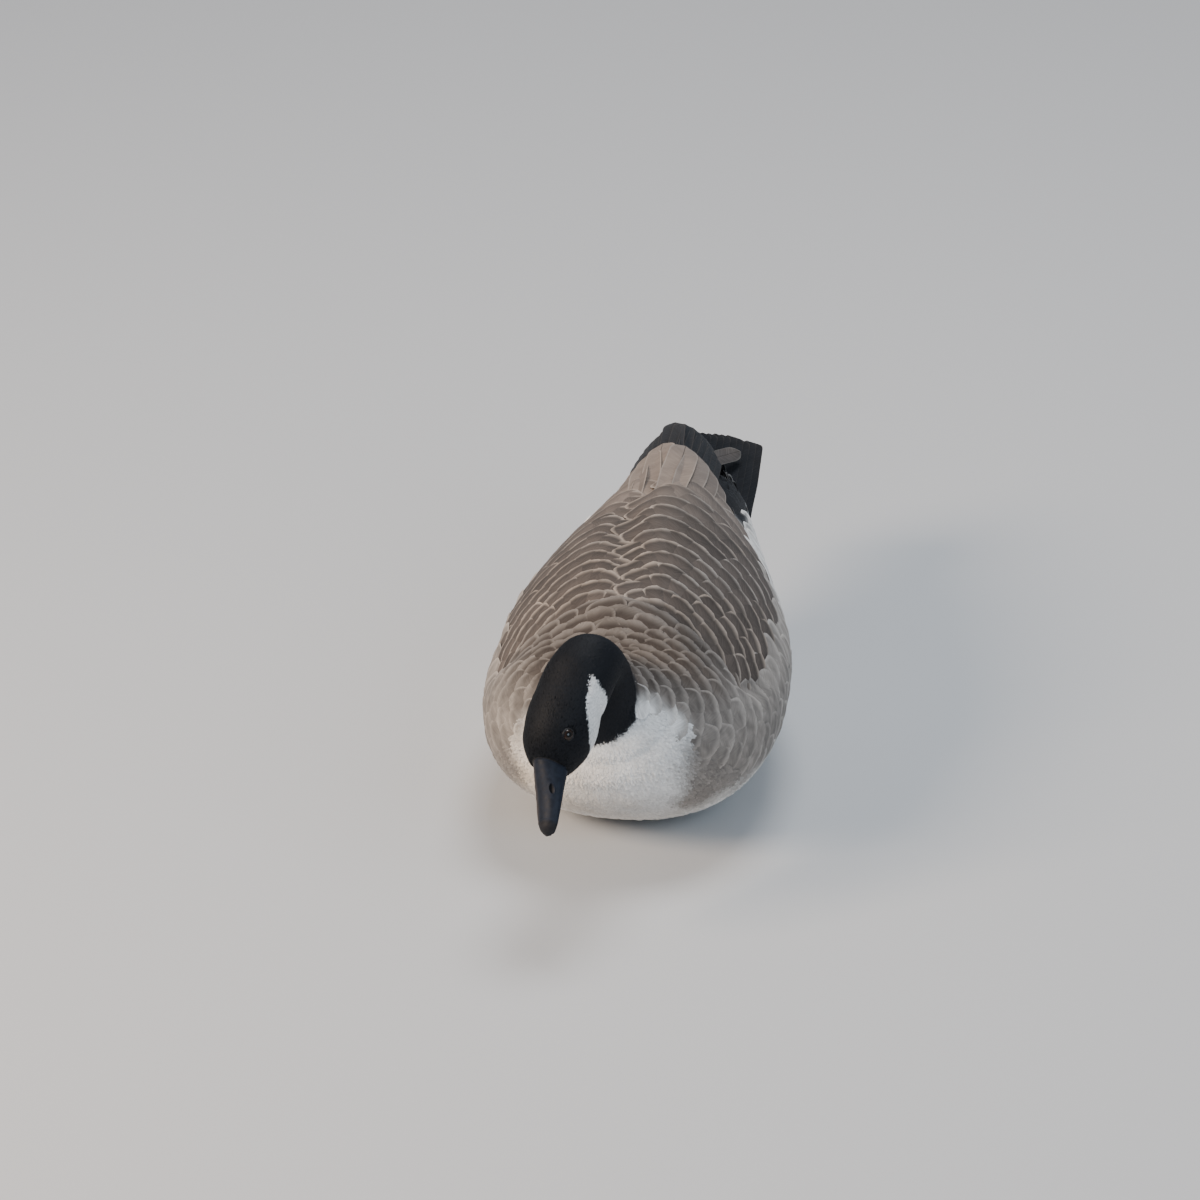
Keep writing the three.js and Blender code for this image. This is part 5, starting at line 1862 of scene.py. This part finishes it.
@dataclass
class Foot:
    """One folded leg and its webbed foot, tucked under the belly.

    Each toe is given by its angle from straight back and its length.
    """

    side: Side
    toes: tuple = ((-26.0, 62.0), (-2.0, 82.0), (19.0, 74.0), (150.0, 16.0))
    shin: tuple = ((-0.06, 3.5), (-0.03, 7.0), (0.06, 8.4), (0.3, 5.6), (0.85, 5.0), (1, 6.2))
    leg_tint: tuple = (0.022, 0.021, 0.019)
    foot_tint: tuple = (0.020, 0.019, 0.018)

    @property
    def joint(self) -> np.ndarray:
        """The place where the toes meet."""
        return np.array([LEG["x"] * self.side.value, *LEG["toes"]])

    def tube(self, path: np.ndarray, radius: np.ndarray, columns: int = 14) -> Shape:
        """A closed tube: centre + r (side cos t + up sin t) along a level path.

        Args:
            path: its middle points.
            radius: its radius at each.
            columns: how many points round it.

        Returns:
            Points and faces.
        """
        way = unit(np.gradient(path, axis=0))
        side = unit(np.cross(way, np.array([0.0, 0.0, 1.0])))
        up = np.cross(side, way)
        t = full_turn(columns)
        ring = side[:, None] * np.cos(t)[:, None] + up[:, None] * np.sin(t)[:, None]
        points = path[:, None] + ring * each(radius)
        points[..., 2] = np.maximum(points[..., 2], 0.0)
        return points.reshape(-1, 3), tube_faces(len(path), columns)

    def leg(self) -> Shape:
        """The shin from the hock to the toes, with fine rings along it.

        Returns:
            Points and faces.
        """
        hock = np.array([LEG["x"] * self.side.value, *LEG["hock"]])
        share = np.linspace(-0.06, 1, 40)
        radius = np.interp(share, *np.array(self.shin).T) * (1 + 0.012 * np.sin(share * 160))
        return self.tube(hock + (self.joint - hock) * share[:, None], radius, 18)

    def toe(self, spread: float, long: float) -> tuple[np.ndarray, Shape, Shape]:
        """One toe with its claw. Its radius is 4.6 - 2u + 0.5 cos(2 pi b u) + 0.12 sin(120u), with b bones.

        Args:
            spread: its angle from straight back, in degrees.
            long: its length.

        Returns:
            The place near its end where its web is fastened, and the toe's and the claw's points and faces.
        """
        turn = math.radians(spread * -self.side.value)
        way = np.array([math.sin(turn), -math.cos(turn), 0.0])
        u, claw = np.linspace(0, 1, 36), np.linspace(0.05, 1, 12)
        bones = 3 if long > 30 else 1
        radius = 4.6 - 2.0 * u + 0.5 * np.cos(u * bones * 2 * math.pi) + 0.12 * np.sin(u * 120)
        line = self.joint * [1, 1, 0] + way * (long * u)[:, None]
        line[:, 2] = radius * 0.96
        nail = line[-1] + way * (9 * claw)[:, None]
        nail[:, 2] = 2.4 - 1.5 * claw ** 2
        return line[int(len(line) * 0.84)], self.tube(line, radius), self.tube(nail, 2.1 * (1 - 0.85 * claw))

    def web(self, first: np.ndarray, second: np.ndarray) -> Shape:
        """The web between two toes, a thin shell with a scalloped edge and low folds.

        Args:
            first: where it is fastened to one toe.
            second: where it is fastened to the other.

        Returns:
            Points and faces.
        """
        rows, columns = 18, 14
        u = np.linspace(0.05, 1, rows)[:, None, None]
        w = np.linspace(0, 1, columns)[None, :, None]
        root = self.joint * [1, 1, 0]
        spread = root + ((first * (1 - w) + second * w) - root) * u * (1 - 0.16 * np.sin(math.pi * w) * u)
        top, low = spread.copy(), spread.copy()
        top[..., 2] = 1.9 + 0.5 * np.sin(w[..., 0] * 22) * u[..., 0]
        low[..., 2] = 0.4
        return np.stack([top, low]).reshape(-1, 3), [shell_faces(rows, columns)]

    def dress(self, name: str, tint: tuple, shapes: list[Shape]) -> bpy.types.Object:
        """One piece from several shapes of a single tint.

        Args:
            name: the piece's name.
            tint: red, green and blue.
            shapes: points and faces of each.

        Returns:
            The new object.
        """
        points = np.vstack([part for part, _ in shapes])
        starts = running([len(part) for part, _ in shapes])
        faces = [group + start for (_, groups), start in zip(shapes, starts) for group in groups]
        marks = {"tint": rgba(np.tile(tint, (len(points), 1)))}
        return make_piece(name, points, faces, LEG_SKIN, "leg_skin", marks, sharp=60)

    def build(self) -> None:
        """Makes the shin, and the foot with its toes, claws and webs."""
        word = self.side.word
        leg = self.dress(f"leg_{word}", self.leg_tint, [self.leg()])
        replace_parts(leg, f"leg_{self.side.word}")
        toes = [self.toe(*sizes) for sizes in self.toes]
        ends = [end for end, _, _ in toes]
        webs = [self.web(ends[0], ends[1]), self.web(ends[1], ends[2])]
        shapes = [shape for _, *pair in toes for shape in pair] + webs
        foot = self.dress(f"foot_{word}", self.foot_tint, shapes)
        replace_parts(foot, f"foot_{self.side.word}")


def vaned(points: np.ndarray, at: np.ndarray, angle: np.ndarray) -> np.ndarray:
    """Whether a place on the body is covered by vanes, so that it has no tufts."""
    return (wing_cover(points)[0] > 0.2) | (Contour.covered(points, at, angle) > 0.6)


def near_eye(points: np.ndarray, _at: np.ndarray, _angle: np.ndarray) -> np.ndarray:
    """Whether a place on the head is in an eye's opening, which is longer ahead since tufts lie back.

    Args:
        points: places in millimetres.
        _at: their stations, not needed here.
        _angle: their angles round the head, not needed here.

    Returns:
        True for a place that is left free.
    """
    local = FORM.to_head(points)
    ahead, above = local[..., 1] - EYE_OPENING["a"], local[..., 2] - EYE_OPENING["up"]
    reach = np.where(ahead > 0, EYE_OPENING["ahead"], EYE_OPENING["behind"])
    return (ahead / reach) ** 2 + (above / EYE_OPENING["high"]) ** 2 < 1


@dataclass
class Coat:
    """The fine feathers of the whole body, in pieces from the belly to the face.

    Each part has its name, first and last station, number of tufts, lengths, share of width, how far the tips
    stand out, and seed.
    """

    body: tuple = (
        ("coat_vent", 1.0, 4.2, 9000, (17, 20), 0.20, 0.8, 101),
        ("coat_belly", 4.2, 9.0, 15500, (20, 18), 0.20, 0.8, 102),
        ("coat_breast_low", 8.6, 10.4, 15500, (16, 12), 0.17, 0.7, 103),
        ("coat_breast_high", 10.4, 12.15, 15500, (11, 8), 0.17, 0.6, 105),
    )
    neck: tuple = (
        ("coat_neck_low", 11.95, 14.0, 15500, (8, 6.5), 0.17, 0.5, 106),
        ("coat_neck_high", 14.0, 16.4, 15500, (6.5, 5), 0.18, 0.4, 107),
    )
    head: tuple = ("coat_head", 16.3, 22.0, 16000, (4.6, 2.4), 0.20, 0.3, 108)

    def build(self) -> None:
        """Makes each part of the coat."""
        for part in self.body:
            Tufts(*part, PALE_DOWN, "body_plumage", vaned).build()
        for part in self.neck:
            Tufts(*part, BLACK_DOWN, "black_plumage").build()
        Tufts(*self.head, BLACK_DOWN, "black_plumage", near_eye).build()


@dataclass
class Stage:
    """The pale floor, the soft light and the camera.

    Each lamp has its name, its place in metres, its size, its power in watts and its colour.
    """

    floor_half: float = 30.0
    floor_colour: tuple = (0.58, 0.59, 0.60)
    sky_colour: tuple = (0.80, 0.88, 1.0)
    sky_strength: float = 0.36
    aim: tuple = (0, -0.05, 0.1)
    lamps: tuple = (
        ("key", (-2.6, -1.9, 2.0), 1.3, 155, (1.0, 0.80, 0.62)),
        ("fill", (2.4, -2.4, 2.2), 2.0, 46, (0.72, 0.86, 1.0)),
        ("top", (0.2, 0.9, 3.2), 1.6, 64, (0.97, 0.98, 1.0)),
    )

    def floor(self) -> None:
        """A large plain floor at height zero."""
        mesh = bpy.data.meshes.new("floor")
        far = self.floor_half
        mesh.from_pydata([(-far, -far, 0), (far, -far, 0), (far, far, 0), (-far, far, 0)], [], [(0, 1, 2, 3)])
        nodes = Nodes("floor")
        nodes.surface(Base_Color=self.floor_colour, Roughness=0.7)
        mesh.materials.append(nodes.material)
        floor = show("floor", mesh)

    def light(self, name: str, place: tuple, size: float, power: float, colour: tuple) -> None:
        """An area lamp that faces the bird.

        Args:
            name: its name.
            place: where it hangs, in metres.
            size: its diameter.
            power: watts.
            colour: red, green and blue.
        """
        lamp = bpy.data.lights.new(name, "AREA")
        lamp.shape, lamp.size, lamp.energy, lamp.color = "DISK", size, power, colour
        away = np.array(place) - np.array(self.aim)
        flat = math.hypot(away[0], away[1])
        hung = show(name, lamp)
        hung.location = place
        hung.rotation_euler = (math.atan2(flat, away[2]), 0, math.atan2(away[1], away[0]) + math.pi / 2)

    def world(self) -> None:
        """A pale even sky."""
        world = bpy.data.worlds.new("sky")
        world.use_nodes = True
        sky = world.node_tree.nodes["Background"]
        sky.inputs["Color"].default_value = (*self.sky_colour, 1)
        sky.inputs["Strength"].default_value = self.sky_strength
        bpy.context.scene.world = world

    def camera(self) -> None:
        """The camera at the photograph's angle and distance."""
        a, e = math.radians(CAMERA["azimuth"]), math.radians(CAMERA["elevation"])
        back = np.array([math.sin(a) * math.cos(e), -math.cos(a) * math.cos(e), math.sin(e)])
        data = bpy.data.cameras.new("camera")
        data.sensor_width = CAMERA["sensor"]
        data.lens = CAMERA["sensor"] / 2 / math.tan(math.radians(CAMERA["view"] / 2))
        data.shift_x, data.shift_y = CAMERA["shift"]
        data.clip_end = 100.0
        camera = show("camera", data)
        camera.location = np.array(CAMERA["target"]) + back * CAMERA["distance"]
        camera.rotation_euler = (math.pi / 2 - e, 0, a)
        bpy.context.scene.camera = camera

    def build(self) -> None:
        """Sets up everything round the bird."""
        self.floor()
        self.world()
        for lamp in self.lamps:
            self.light(*lamp)
        self.camera()


def main() -> None:
    """Builds the goose and its stage, in order."""
    logging.basicConfig(level=logging.INFO, format="%(name)s %(message)s")
    Stage().build()
    Skin().build()
    Coat().build()
    for side in Side:
        Wing(side).build()
        Contour(side).build()
        Eye(side).build()
        Foot(side).build()
    Tail().build()
    Bill().build()


if __name__ == "__main__":
    main()
